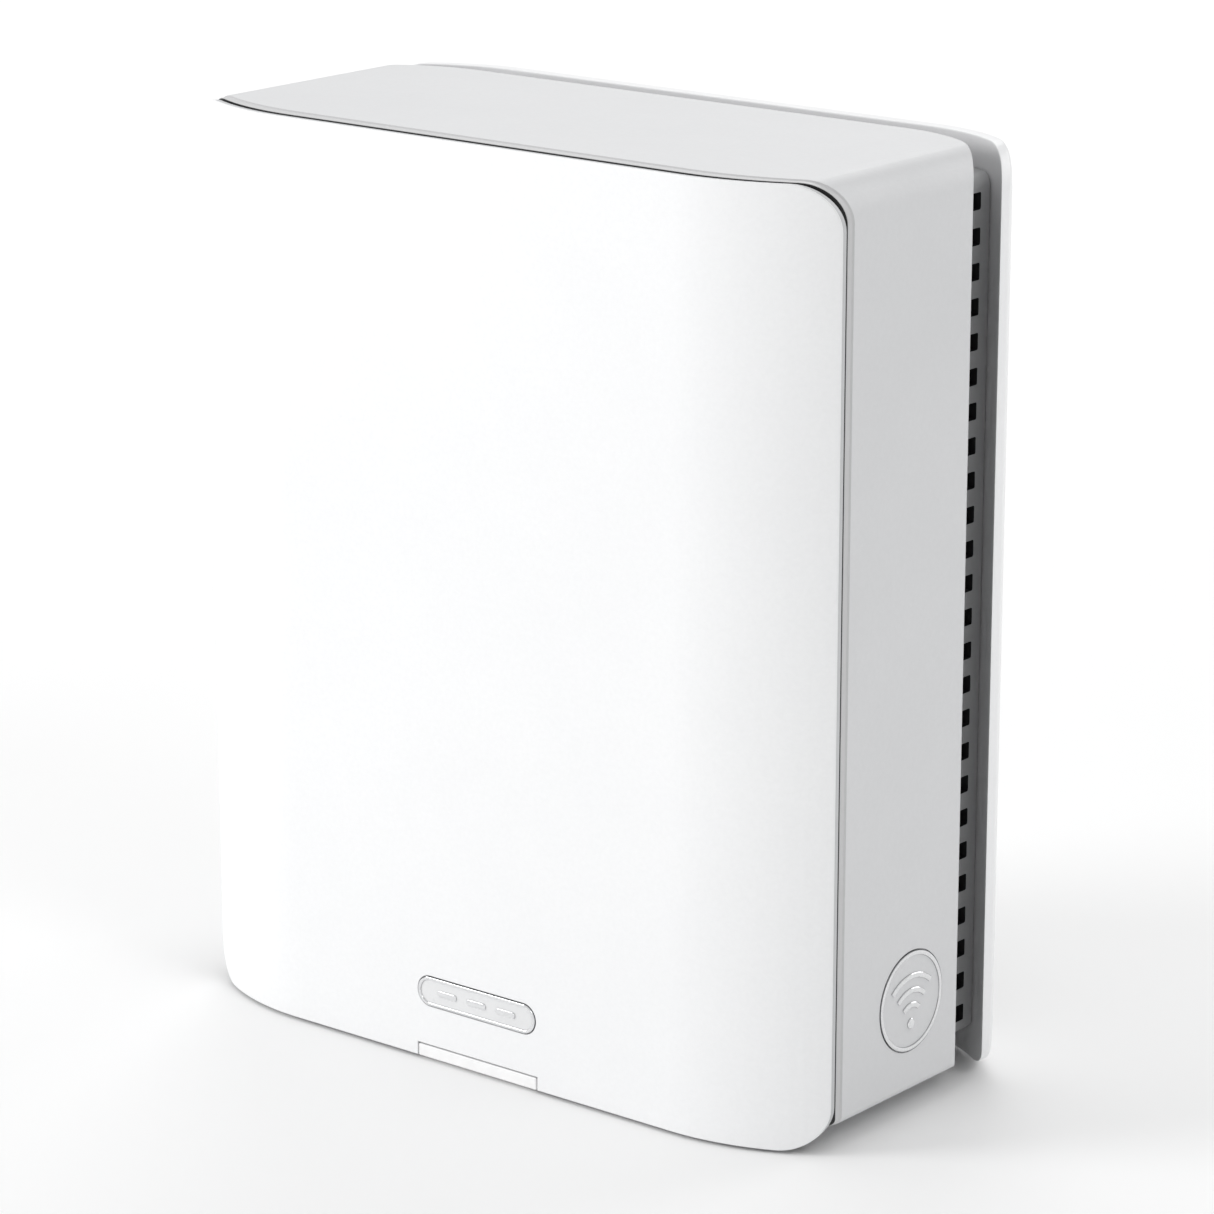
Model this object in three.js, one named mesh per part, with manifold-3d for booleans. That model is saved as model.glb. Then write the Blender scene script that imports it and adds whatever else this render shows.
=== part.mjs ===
// Wireless router: an upright slab between two bowed white panels, with a vented neck at the back.
// Millimetres, +Z up. The front faces -Y. The origin is on the floor, under the middle of the router.

import * as THREE from 'three';
import { mergeVertices } from 'three/addons/utils/BufferGeometryUtils.js';
import Module from 'manifold-3d';

const wasm = await Module();
wasm.setup();

// ---------------------------------------------------------------- driving dimensions

const GAP = 0.3;                 // clearance between pieces that touch

const BODY_HALF_WIDTH = 94;
const BODY_BOTTOM = 6;
const BODY_TOP = 222.5;
const BODY_CORNER = 9.5;         // radius of the two top corners
const BODY_FOOT_CORNER = 2;
const SHELL_WALL = 2.6;

const SHELL_FRONT = -44.1;       // y of the shell's front edge at the middle
const SHELL_BACK = 31.2;         // y of its back edge at the middle

// A bowed face is flat out to "flat" on each side of the middle, then falls back along an arc.
const FRONT_BOW = { flat: 58, radius: 58.5 };
const BACK_BOW = { flat: 64, radius: 36 };
const PANEL_BOW = { flat: 62, radius: 40 };
const BOW_REACH = 96;            // bowed faces are drawn this far out, then cut by an outline

const PANEL_BOTTOM = 0.8;
const FRONT_PANEL = { halfWidth: 94.2, top: 222.3, corner: 10.5, front: -46.5, thick: 2 };
const BACK_PANEL = { halfWidth: 95, top: 221.4, corner: 10.5, front: 42, thick: 4.5 };

// The vented neck between the shell and the back panel, narrower than both.
const NECK = { halfWidth: 85.5, low: 8.9, high: 214, corner: 3, front: 8, wall: 2 };
const VENT_ROWS = 25;
const VENT_PITCH = 8.1;
const VENT_FIRST = 14;           // height of the lowest slot's middle
const VENT_HEIGHT = 4;
const VENT_FROM = 20;
const VENT_TO = 30.5;
const TOP_VENTS = 15;
const TOP_VENT_SHIFT = 6;        // the slots along the top stand this much further back

const WINDOW = { halfWidth: 18.2, height: 3 };
const BADGE_BORDER = 0.8;
const BADGE_DEPTH = 0.3;         // a badge stands this far out of its pocket, and as deep inside it
const FRONT_BADGE = { halfWidth: 18, low: 14.2, high: 21.4 };
const SIDE_BADGE = { radius: 12, y: -3, z: 28.4 };

const LIGHT_GUIDE = { halfWidth: 15, thick: 1.8, high: 17.5, footDepth: 3.4, footLow: 14.5 };
const LIGHT_BOARD = { halfWidth: 22, low: 10, high: 24, thick: 1.2 };
const FRONT_FRAME = { thick: 1.6, ribHalfWidth: 70, ribDepth: 3, ribHeight: 1.6, ribs: [60, 110, 160] };

const BAY = { halfWidth: 66, low: 14, high: 46, corner: 4, wall: 1.6, floor: 27.6 };
const PORT_HEIGHT = 28;          // z of the ports' middle line
const PORT_FACE = 28.2;          // y of the jacks' faces

const SCREW = { shank: 1.3, head: 3, headHeight: 1.9, slotDepth: 0.7, length: 8 };
const CAN = { depth: 2.5, wall: 0.6 };
const PAD_THICK = 1;
const SINK = { fin: 1.6, frontBase: 4, backBase: 3, clear: 4.7 };
const ANTENNA = { length: 42, front: -24, back: -8, notchFrom: 6, notchTo: 10, thick: 1, lead: 0.6 };
const BOARD = { halfWidth: 80, low: 13.5, high: 200, front: 9.4, back: 11 };
const BOSS = { radius: 3.6, bore: 1.6, depth: 12 };
const BOARD_SCREWS = [[-74, 24], [74, 24], [-74, 190], [74, 190]];

const JACK = { width: 16, height: 13.5 };
const JACK_MOUTH = { width: 11.9, height: 8.3, depth: 13, rise: 0.9 };
const JACK_LATCH = { halfWidth: 3.2, depth: 9, drop: 2.6 };
const JACKS = [['rj45_wan', 37.5], ['rj45_lan_1', 20], ['rj45_lan_2', 2.5], ['rj45_lan_3', -15]];
const USB = { x: -31.5, width: 14.4, height: 7 };
const USB_MOUTH = { halfWidth: 6.3, halfHeight: 2.6, depth: 12 };
const USB_TONGUE = { halfWidth: 5.6, low: 0.2, high: 2, recess: 1.5 };
const DC = { x: -46, size: 10, bore: 3.1, depth: 10, pin: 1, pinRecess: 1.2 };
const ROCKER = {
  x: -58, y: 25.5, tilt: 8, reach: 5.7, rise: 2.6, dip: 1.8, halfWidth: 4, pin: 0.95, pinReach: 4.9,
};
const ROCKER_HOUSING = {
  halfWidth: 5.3, halfHeight: 7.5, cavityWidth: 8.6, cavityHeight: 13.2, pinHole: 1.25,
};

// The two push buttons: y of the face, of the flange's ends and of the stem's front end, with their radii.
const PAIR_BUTTON_X = 59.5;
const PAIR_BUTTON = {
  cap: 3.5, face: 29.2, flange: 4.6, flangeFrom: 23.8, flangeTo: 25.7, stem: 1.5, hole: 3.9,
};
const RESET_X = 50.5;
const RESET = {
  cap: 0.8, face: 27, flange: 2.2, flangeFrom: 23.4, flangeTo: 24.6, stem: 1.2, hole: 1.2,
};
const STEM_FROM = 17.2;
const TACT_SWITCH = { half: 3, back: 14.8, plunger: 1.7, plungerBack: 16 };

const BASE = {
  halfWidth: 72, front: -27, back: 21, plateLow: 2.5, footDepth: 8, footHigh: 2.2, footInset: 14,
};
const INTAKE = { slots: 13, pitch: 8.6, halfWidth: 1.9, front: -14, back: 8 };
const BASE_SCREWS = [[-64, -19], [64, -19], [-64, 13], [64, 13]];
const BASE_SCREW = { well: 3, hole: 1.7, head: 2.6, shank: 1.35, headHeight: 1 };

// ---------------------------------------------------------------- materials

function finish(color, roughness, metalness = 0) {
  return new THREE.MeshStandardMaterial({ color, roughness, metalness });
}

const WHITE = () => finish(0xf6f6f5, 0.35);
const LIGHT_GREY = () => finish(0xd6d8d9, 0.5);
const VENT_GREY = () => finish(0xb9bbbc, 0.6);
const SILVER = () => finish(0xc4c6c8, 0.28, 0.9);
const DARK_PLASTIC = () => finish(0x2b2c2e, 0.6);
const RUBBER = () => finish(0x4a4b4d, 0.9);
const FROSTED = () => finish(0xf2f5f8, 0.3);
const BOARD_GREEN = () => finish(0x1d4a35, 0.5);
const ALUMINIUM = () => finish(0xa9adb1, 0.4, 0.9);
const STEEL = () => finish(0xb7babd, 0.3, 1);
const PAD_GREY = () => finish(0x8f97a3, 0.9);
const LEAD_BLACK = () => finish(0x202124, 0.5);

// ---------------------------------------------------------------- solids

function solid(geometry) {
  const bare = geometry.clone();
  bare.deleteAttribute('normal');
  bare.deleteAttribute('uv');
  const merged = mergeVertices(bare, 1e-4);
  return new wasm.Manifold(new wasm.Mesh({
    numProp: 3,
    vertProperties: new Float32Array(merged.attributes.position.array),
    triVerts: new Uint32Array(merged.index.array),
  }));
}

function geometryOf(body) {
  const mesh = body.getMesh();
  const geometry = new THREE.BufferGeometry();
  geometry.setAttribute('position', new THREE.BufferAttribute(new Float32Array(mesh.vertProperties), 3));
  geometry.setIndex(new THREE.BufferAttribute(new Uint32Array(mesh.triVerts), 1));
  geometry.computeVertexNormals();
  return geometry;
}

function block(x0, x1, y0, y1, z0, z1) {
  const geometry = new THREE.BoxGeometry(x1 - x0, y1 - y0, z1 - z0);
  geometry.translate((x0 + x1) / 2, (y0 + y1) / 2, (z0 + z1) / 2);
  return solid(geometry);
}

function extruded(shape, depth, curveSegments) {
  return new THREE.ExtrudeGeometry(shape, { depth, bevelEnabled: false, curveSegments });
}

// A shape drawn in x and z, extruded from y0 to y1.
function alongY(shape, y0, y1, curveSegments = 6) {
  const geometry = extruded(shape, y1 - y0, curveSegments);
  geometry.rotateX(Math.PI / 2);
  geometry.translate(0, y1, 0);
  return solid(geometry);
}

// A shape drawn in x and y, extruded from z0 to z1.
function alongZ(shape, z0, z1, curveSegments = 6) {
  const geometry = extruded(shape, z1 - z0, curveSegments);
  geometry.translate(0, 0, z0);
  return solid(geometry);
}

// A shape drawn in y and z, extruded from x0 to x1.
function alongX(shape, x0, x1, curveSegments = 6) {
  const geometry = extruded(shape, x1 - x0, curveSegments);
  const turn = new THREE.Matrix4().makeBasis(
    new THREE.Vector3(0, 1, 0), new THREE.Vector3(0, 0, 1), new THREE.Vector3(1, 0, 0));
  geometry.applyMatrix4(turn);
  geometry.translate(x0, 0, 0);
  return solid(geometry);
}

// A round bar along Y, standing at x and z.
function roundY(x, z, radius, y0, y1, sides = 16) {
  const geometry = new THREE.CylinderGeometry(radius, radius, y1 - y0, sides);
  geometry.translate(x, (y0 + y1) / 2, z);
  return solid(geometry);
}

function roundX(y, z, radius, x0, x1, sides = 12) {
  const geometry = new THREE.CylinderGeometry(radius, radius, x1 - x0, sides);
  geometry.rotateZ(Math.PI / 2);
  geometry.translate((x0 + x1) / 2, y, z);
  return solid(geometry);
}

function roundZ(x, y, radius, z0, z1, sides = 12) {
  const geometry = new THREE.CylinderGeometry(radius, radius, z1 - z0, sides);
  geometry.rotateX(Math.PI / 2);
  geometry.translate(x, y, (z0 + z1) / 2);
  return solid(geometry);
}

// ---------------------------------------------------------------- outlines

// A rectangle with its own radius for the two upper and the two lower corners.
function roundedRect(x0, x1, z0, z1, upper, lower = upper) {
  const shape = new THREE.Shape();
  shape.moveTo(x0 + lower, z0);
  shape.lineTo(x1 - lower, z0);
  shape.absarc(x1 - lower, z0 + lower, lower, -Math.PI / 2, 0);
  shape.lineTo(x1, z1 - upper);
  shape.absarc(x1 - upper, z1 - upper, upper, 0, Math.PI / 2);
  shape.lineTo(x0 + upper, z1);
  shape.absarc(x0 + upper, z1 - upper, upper, Math.PI / 2, Math.PI);
  shape.lineTo(x0, z0 + lower);
  shape.absarc(x0 + lower, z0 + lower, lower, Math.PI, Math.PI * 1.5);
  return shape;
}

// How far a bowed face has fallen back at x: nothing on the flat middle, then an arc.
function setback(x, bow) {
  const past = Math.max(Math.abs(x) - bow.flat, 0);
  return bow.radius - Math.sqrt(bow.radius ** 2 - past ** 2);
}

// Plan points of a bowed face, from left to right; side is -1 for the front and 1 for the back.
function bowLine(middle, bow, side) {
  const steps = 9;
  const curved = BOW_REACH - bow.flat;
  const points = [];
  for (let i = 0; i <= steps; i += 1) {
    points.push(-BOW_REACH + (i / steps) * curved);
  }
  for (let i = 0; i <= steps; i += 1) {
    points.push(bow.flat + (i / steps) * curved);
  }
  return points.map((x) => new THREE.Vector2(x, middle - side * setback(x, bow)));
}

// The plan between two bowed faces.
function bowedPlan(frontLine, backLine) {
  return new THREE.Shape([...frontLine, ...backLine.reverse()]);
}

// An outline extruded past the router's front and back, and a plan extruded past its foot and top.
function throughDepth(outline) {
  return alongY(outline, -70, 70);
}

function throughHeight(plan) {
  return alongZ(plan, -10, BODY_TOP + 10);
}

function bowedPlate(outline, middle, thick, bow, side) {
  const plan = bowedPlan(bowLine(middle, bow, side), bowLine(middle + thick, bow, side));
  return throughDepth(outline).intersect(throughHeight(plan));
}

// ---------------------------------------------------------------- the router

const router = new THREE.Group();
router.name = 'wireless_router';

function add(name, body, material) {
  const mesh = new THREE.Mesh(geometryOf(body), material);
  mesh.name = name;
  router.add(mesh);
}

function bodyOutline(inset) {
  return roundedRect(
    -BODY_HALF_WIDTH + inset, BODY_HALF_WIDTH - inset, BODY_BOTTOM + inset, BODY_TOP - inset,
    BODY_CORNER - Math.min(inset, 5), Math.max(BODY_FOOT_CORNER - inset, 0.8));
}

// --- front

function frontPanel() {
  const { halfWidth, top, corner, front, thick } = FRONT_PANEL;
  const outline = roundedRect(-halfWidth, halfWidth, PANEL_BOTTOM, top, corner);
  const notch = block(
    -WINDOW.halfWidth - GAP, WINDOW.halfWidth + GAP, front - 1, front + thick + 1,
    PANEL_BOTTOM - 1, PANEL_BOTTOM + WINDOW.height + GAP);
  const pocket = alongY(badgeOutline(-GAP), front - 1, front + BADGE_DEPTH + GAP, 4);
  return bowedPlate(outline, front, thick, FRONT_BOW, -1).subtract(notch).subtract(pocket);
}

function lightWindow() {
  return block(
    -WINDOW.halfWidth, WINDOW.halfWidth, FRONT_PANEL.front, FRONT_PANEL.front + FRONT_PANEL.thick,
    PANEL_BOTTOM, PANEL_BOTTOM + WINDOW.height);
}

function badgeOutline(inset) {
  const { halfWidth, low, high } = FRONT_BADGE;
  const round = (high - low) / 2 - inset;
  return roundedRect(-halfWidth + inset, halfWidth - inset, low + inset, high - inset, round);
}

// A plain pill with a raised border and three raised dashes.
function frontBadge() {
  const { low, high } = FRONT_BADGE;
  const face = FRONT_PANEL.front - BADGE_DEPTH;
  const plate = alongY(badgeOutline(0), face, FRONT_PANEL.front + BADGE_DEPTH, 4);
  let badge = plate.subtract(alongY(badgeOutline(BADGE_BORDER), face - 1, face + 0.3, 4));
  for (const x of [-9, 0, 9]) {
    const dash = roundedRect(x - 3, x + 3, low + 2.2, high - 2.2, (high - low) / 2 - 2.2);
    badge = badge.add(alongY(dash, face, face + 0.4, 2));
  }
  return badge;
}

function frontFrame() {
  const inset = SHELL_WALL + GAP;
  const { thick, ribHalfWidth, ribDepth, ribHeight, ribs } = FRONT_FRAME;
  const plate = bowedPlate(bodyOutline(inset), SHELL_FRONT + 0.2, thick, FRONT_BOW, -1);
  const notchHalf = LIGHT_GUIDE.halfWidth + 1.6;
  const notch = block(-notchHalf, notchHalf, -70, 0, 0, LIGHT_GUIDE.high + 1.5);
  let frame = plate.subtract(notch);
  const ribFront = SHELL_FRONT + thick;
  for (const z of ribs) {
    frame = frame.add(block(
      -ribHalfWidth, ribHalfWidth, ribFront, ribFront + ribDepth, z - ribHeight / 2, z + ribHeight / 2));
  }
  return frame;
}

function lightGuideFront() {
  return FRONT_PANEL.front + FRONT_PANEL.thick + 0.4;
}

function lightGuide() {
  const { halfWidth, thick, high, footDepth, footLow } = LIGHT_GUIDE;
  const front = lightGuideFront();
  const leg = block(-halfWidth, halfWidth, front, front + thick, PANEL_BOTTOM + 0.4, high);
  const foot = block(-halfWidth, halfWidth, front, front + footDepth, footLow, high);
  return leg.add(foot);
}

function lightBoard() {
  const { halfWidth, low, high, thick } = LIGHT_BOARD;
  const front = lightBoardFront();
  return block(-halfWidth, halfWidth, front, front + thick, low, high);
}

function lightBoardFront() {
  return lightGuideFront() + LIGHT_GUIDE.footDepth + GAP;
}

// --- body

function bodyShell() {
  const plan = bowedPlan(bowLine(SHELL_FRONT, FRONT_BOW, -1), bowLine(SHELL_BACK, BACK_BOW, 1));
  const outside = throughDepth(bodyOutline(0)).intersect(throughHeight(plan));
  const inside = alongY(bodyOutline(SHELL_WALL), -80, 80);
  const floorTop = BODY_BOTTOM + SHELL_WALL;
  const guideSlot = block(-16, 16, -60, SHELL_FRONT + 3.4, 0, floorTop + 1);
  const intake = block(-58, 58, -18, 12, 0, floorTop + 1);
  const { radius, y, z } = SIDE_BADGE;
  const pocket = roundX(
    y, z, radius + GAP, BODY_HALF_WIDTH - BADGE_DEPTH - GAP, BODY_HALF_WIDTH + 1, 32);
  return outside.subtract(inside).subtract(guideSlot).subtract(intake).subtract(pocket);
}

// A round plate with three raised arcs over a dot.
function sideBadge() {
  const { radius, y, z } = SIDE_BADGE;
  const face = BODY_HALF_WIDTH + BADGE_DEPTH;
  let badge = roundX(y, z, radius, BODY_HALF_WIDTH - BADGE_DEPTH, face - 0.25, 32);
  badge = badge.add(roundX(y, z - 5.5, 1.3, BODY_HALF_WIDTH, face, 10));
  for (const reach of [4.5, 8, 11.5]) {
    badge = badge.add(alongX(arcBand(y, z - 5.5, reach, 1.3, 0.22), BODY_HALF_WIDTH, face, 4));
  }
  return badge;
}

// A band along an arc, centred on straight up; spread is the half angle as a share of half a turn.
function arcBand(y, z, radius, width, spread) {
  const from = Math.PI / 2 - spread * Math.PI;
  const to = Math.PI / 2 + spread * Math.PI;
  const shape = new THREE.Shape();
  shape.absarc(y, z, radius + width / 2, from, to, false);
  shape.absarc(y, z, radius - width / 2, to, from, true);
  shape.closePath();
  return shape;
}

// --- back

const SLOT_DEPTH = 10;           // each slot's cutter reaches half of this into the neck

function ventSlots() {
  const half = VENT_HEIGHT / 2;
  const slots = [];
  for (const side of [-1, 1]) {
    for (let row = 0; row < VENT_ROWS; row += 1) {
      const z = VENT_FIRST + row * VENT_PITCH;
      const from = side * NECK.halfWidth - SLOT_DEPTH / 2;
      slots.push(block(from, from + SLOT_DEPTH, VENT_FROM, VENT_TO, z - half, z + half));
    }
  }
  for (let column = 0; column < TOP_VENTS; column += 1) {
    const x = (column - (TOP_VENTS - 1) / 2) * VENT_PITCH;
    const [y0, y1] = [VENT_FROM + TOP_VENT_SHIFT, VENT_TO + TOP_VENT_SHIFT];
    slots.push(block(x - half, x + half, y0, y1, NECK.high - SLOT_DEPTH / 2, NECK.high + SLOT_DEPTH / 2));
  }
  return slots;
}

function neckOutline(inset) {
  const { halfWidth, low, high, corner } = NECK;
  return roundedRect(
    -halfWidth + inset, halfWidth - inset, low + inset, high - inset,
    corner - inset, Math.max(1.5 - inset, 0.5));
}

// Everything behind the neck's front edge and before a bowed face at y.
function neckRoom(y) {
  const frontLine = [new THREE.Vector2(-BOW_REACH, NECK.front), new THREE.Vector2(BOW_REACH, NECK.front)];
  return throughHeight(bowedPlan(frontLine, bowLine(y, PANEL_BOW, 1)));
}

function ventFrame() {
  const back = BACK_PANEL.front - GAP;
  const inner = neckOutline(NECK.wall);
  const outside = throughDepth(neckOutline(0)).intersect(neckRoom(back));
  const inside = throughDepth(inner).intersect(neckRoom(back - NECK.wall));
  const hollowFront = alongY(inner, -10, NECK.front + 1);
  let frame = outside.subtract(inside).subtract(hollowFront);
  for (const [x, z] of BOARD_SCREWS) {
    const wall = back - setback(Math.abs(x) + BOSS.radius, PANEL_BOW);
    frame = frame.add(roundY(x, z, BOSS.radius, BOARD.back + GAP, wall - 0.2, 12));
    frame = frame.subtract(roundY(x, z, BOSS.bore, BOARD.back - 1, BOARD.back + BOSS.depth, 8));
  }
  const bay = roundedRect(
    -BAY.halfWidth - BAY.wall - GAP, BAY.halfWidth + BAY.wall + GAP,
    BAY.low - BAY.wall - GAP, BAY.high + BAY.wall + GAP, BAY.corner + BAY.wall);
  frame = frame.subtract(alongY(bay, 20, 70, 4));
  for (const slot of ventSlots()) {
    frame = frame.subtract(slot);
  }
  return frame;
}

function backPanel() {
  const { halfWidth, top, corner, front, thick } = BACK_PANEL;
  const outline = roundedRect(-halfWidth, halfWidth, PANEL_BOTTOM, top, corner);
  const opening = roundedRect(-BAY.halfWidth, BAY.halfWidth, BAY.low, BAY.high, BAY.corner);
  return bowedPlate(outline, front, thick, PANEL_BOW, 1).subtract(alongY(opening, 20, 70, 4));
}

function portBay() {
  const { halfWidth, low, high, corner, wall, floor } = BAY;
  const rim = BACK_PANEL.front - GAP - setback(halfWidth + wall, PANEL_BOW) - 0.1;
  const outside = roundedRect(-halfWidth - wall, halfWidth + wall, low - wall, high + wall, corner + wall);
  const inside = roundedRect(-halfWidth, halfWidth, low, high, corner);
  let bay = alongY(outside, floor - wall, rim, 4).subtract(alongY(inside, floor, rim + 5, 4));
  const cut = (x, z, width, height) => {
    bay = bay.subtract(block(
      x - width / 2, x + width / 2, floor - wall - 1, floor + 1, z - height / 2, z + height / 2));
  };
  for (const [, x] of JACKS) {
    cut(x, PORT_HEIGHT, JACK.width + 2 * GAP, JACK.height + 2 * GAP);
  }
  cut(USB.x, PORT_HEIGHT, USB.width + 2 * GAP, USB.height + 2 * GAP);
  cut(DC.x, PORT_HEIGHT, DC.size + 2 * GAP, DC.size + 2 * GAP);
  cut(ROCKER.x, PORT_HEIGHT, 2 * (ROCKER_HOUSING.halfWidth + GAP), 2 * (ROCKER_HOUSING.halfHeight + GAP));
  bay = bay.subtract(roundY(PAIR_BUTTON_X, PORT_HEIGHT, PAIR_BUTTON.hole, floor - wall - 1, floor + 1, 20));
  bay = bay.subtract(roundY(RESET_X, PORT_HEIGHT, RESET.hole, floor - wall - 1, floor + 1, 12));
  return bay;
}

// --- ports

function networkJack(x) {
  const front = BOARD.back + GAP;
  const z = PORT_HEIGHT;
  let jack = block(x - JACK.width / 2, x + JACK.width / 2, front, PORT_FACE,
    z - JACK.height / 2, z + JACK.height / 2);
  const low = z - JACK_MOUTH.height / 2 + JACK_MOUTH.rise;
  jack = jack.subtract(block(x - JACK_MOUTH.width / 2, x + JACK_MOUTH.width / 2,
    PORT_FACE - JACK_MOUTH.depth, PORT_FACE + 1, low, low + JACK_MOUTH.height));
  const { halfWidth, depth, drop } = JACK_LATCH;
  return jack.subtract(block(
    x - halfWidth, x + halfWidth, PORT_FACE - depth, PORT_FACE + 1, low - drop, low + 1));
}

function usbPort() {
  const { x, width, height } = USB;
  const z = PORT_HEIGHT;
  const shell = block(x - width / 2, x + width / 2, BOARD.back + GAP, PORT_FACE,
    z - height / 2, z + height / 2);
  const { halfWidth, halfHeight, depth } = USB_MOUTH;
  const mouth = block(
    x - halfWidth, x + halfWidth, PORT_FACE - depth, PORT_FACE + 1, z - halfHeight, z + halfHeight);
  const { low, high, recess } = USB_TONGUE;
  const tongue = block(
    x - USB_TONGUE.halfWidth, x + USB_TONGUE.halfWidth, PORT_FACE - depth - 0.5, PORT_FACE - recess,
    z + low, z + high);
  return shell.subtract(mouth).add(tongue);
}

function dcJack() {
  const { x, size, bore, depth, pin, pinRecess } = DC;
  const z = PORT_HEIGHT;
  const half = size / 2;
  const housing = block(x - half, x + half, BOARD.back + GAP, PORT_FACE, z - half, z + half);
  const barrel = roundY(x, z, bore, PORT_FACE - depth, PORT_FACE + 1, 20);
  const centre = roundY(x, z, pin, PORT_FACE - depth - 0.5, PORT_FACE - pinRecess, 12);
  return housing.subtract(barrel).add(centre);
}

function switchHousing() {
  const { x, y } = ROCKER;
  const z = PORT_HEIGHT;
  const { halfWidth, halfHeight, cavityWidth, cavityHeight, pinHole } = ROCKER_HOUSING;
  const housing = block(
    x - halfWidth, x + halfWidth, BOARD.back + GAP, PORT_FACE, z - halfHeight, z + halfHeight);
  const cavity = block(
    x - cavityWidth / 2, x + cavityWidth / 2, y - 6.5, PORT_FACE + 1,
    z - cavityHeight / 2, z + cavityHeight / 2);
  const pivotHoles = roundX(y, z, pinHole, x - halfWidth - 1, x + halfWidth + 1, 12);
  return housing.subtract(cavity).subtract(pivotHoles);
}

// A shallow V across the top, a round belly about the pivot, and a stub pin on each side.
function powerRocker() {
  const { x, y, tilt, reach, rise, dip, halfWidth, pin, pinReach } = ROCKER;
  const belly = Math.hypot(reach, rise);
  const corner = Math.atan2(rise, reach);
  const shape = new THREE.Shape();
  shape.moveTo(dip, 0);
  shape.lineTo(rise, reach);
  shape.absarc(0, 0, belly, Math.PI / 2 - corner, Math.PI * 0.74, false);
  shape.absarc(0, 0, belly, Math.PI * 1.26, Math.PI * 1.5 + corner, false);
  shape.closePath();
  const pins = roundX(0, 0, pin, -pinReach, pinReach, 10);
  const cap = geometryOf(alongX(shape, -halfWidth, halfWidth, 5).add(pins));
  cap.rotateX(THREE.MathUtils.degToRad(tilt));
  cap.translate(x, y, PORT_HEIGHT);
  return solid(cap);
}

// A push button: a round cap, a flange that stops it inside the bay's floor, and a stem down to its switch.
function pushButton(x, button, sides) {
  const { cap, face, flange, flangeFrom, flangeTo, stem } = button;
  const top = roundY(x, PORT_HEIGHT, cap, flangeTo - 0.5, face, sides);
  const stop = roundY(x, PORT_HEIGHT, flange, flangeFrom, flangeTo, sides);
  const foot = roundY(x, PORT_HEIGHT, stem, STEM_FROM, flangeFrom + 0.2, 12);
  return top.add(stop).add(foot);
}

function tactSwitch(x) {
  const z = PORT_HEIGHT;
  const { half, back, plunger, plungerBack } = TACT_SWITCH;
  const base = block(x - half, x + half, BOARD.back + GAP, back, z - half, z + half);
  return base.add(roundY(x, z, plunger, back - 0.3, plungerBack, 12));
}

// --- electronics

function mainBoard() {
  const { halfWidth, low, high, front, back } = BOARD;
  let board = block(-halfWidth, halfWidth, front, back, low, high);
  for (const [x, z] of BOARD_SCREWS) {
    board = board.subtract(roundY(x, z, 1.7, front - 1, back + 1, 12));
  }
  return board;
}

function boardScrew(x, z) {
  const { shank, head, headHeight, slotDepth, length } = SCREW;
  const under = BOARD.front - GAP;
  const rod = roundY(x, z, shank, under - 0.2, BOARD.back + length, 10);
  const cap = roundY(x, z, head, under - headHeight, under, 14);
  const slot = block(x - 2, x + 2, under - headHeight - 1, under - headHeight + slotDepth, z - 0.4, z + 0.4);
  return rod.add(cap).subtract(slot);
}

// An open-backed can over the chips; side is -1 for the board's front face, 1 for its back.
function shieldCan(x0, x1, z0, z1, side) {
  const near = side < 0 ? BOARD.front - GAP : BOARD.back + GAP;
  const far = near + side * CAN.depth;
  const [y0, y1] = side < 0 ? [far, near] : [near, far];
  const can = block(x0, x1, y0, y1, z0, z1);
  const { wall } = CAN;
  const [c0, c1] = side < 0 ? [far + wall, near + 1] : [near - 1, far - wall];
  return can.subtract(block(x0 + wall, x1 - wall, c0, c1, z0 + wall, z1 - wall));
}

function thermalPad(x0, x1, z0, z1, side) {
  const reach = CAN.depth + 3 * GAP;
  const near = side < 0 ? BOARD.front - reach : BOARD.back + reach;
  const far = near + side * PAD_THICK;
  return block(x0, x1, Math.min(near, far), Math.max(near, far), z0, z1);
}

// A base plate with upright fins; side is the way the fins point.
function heatsink(halfWidth, low, high, near, side, finReach, fins) {
  const { fin, frontBase, backBase } = SINK;
  const base = side < 0 ? [near - frontBase, near] : [near, near + backBase];
  let sink = block(-halfWidth, halfWidth, base[0], base[1], low, high);
  const pitch = (2 * halfWidth - fin) / (fins - 1);
  for (let i = 0; i < fins; i += 1) {
    const x = -halfWidth + fin / 2 + i * pitch;
    const reach = side < 0 ? [finReach, base[0] + 0.5] : [base[1] - 0.5, finReach];
    sink = sink.add(block(x - fin / 2, x + fin / 2, reach[0], reach[1], low, high));
  }
  return sink;
}

// A stamped antenna strip with a notch, against the shell's side or top wall.
function sideAntenna(side, low) {
  const wall = BODY_HALF_WIDTH - SHELL_WALL - GAP;
  const { length, front, back, notchFrom, notchTo, thick } = ANTENNA;
  const [x0, x1] = side > 0 ? [wall - thick, wall] : [-wall, -wall + thick];
  const strip = block(x0, x1, front, back, low, low + length);
  return strip.subtract(block(
    x0 - 1, x1 + 1, front + notchFrom, front + notchTo, low + 8, low + length + 1));
}

function topAntenna(side) {
  const wall = BODY_TOP - SHELL_WALL - GAP;
  const { length, front, back, notchFrom, notchTo, thick } = ANTENNA;
  const left = side * length - length / 2;
  const strip = block(left, left + length, front, back, wall - thick, wall);
  return strip.subtract(block(
    left + 8, left + length + 1, front + notchFrom, front + notchTo, wall - thick - 1, wall + 1));
}

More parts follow.
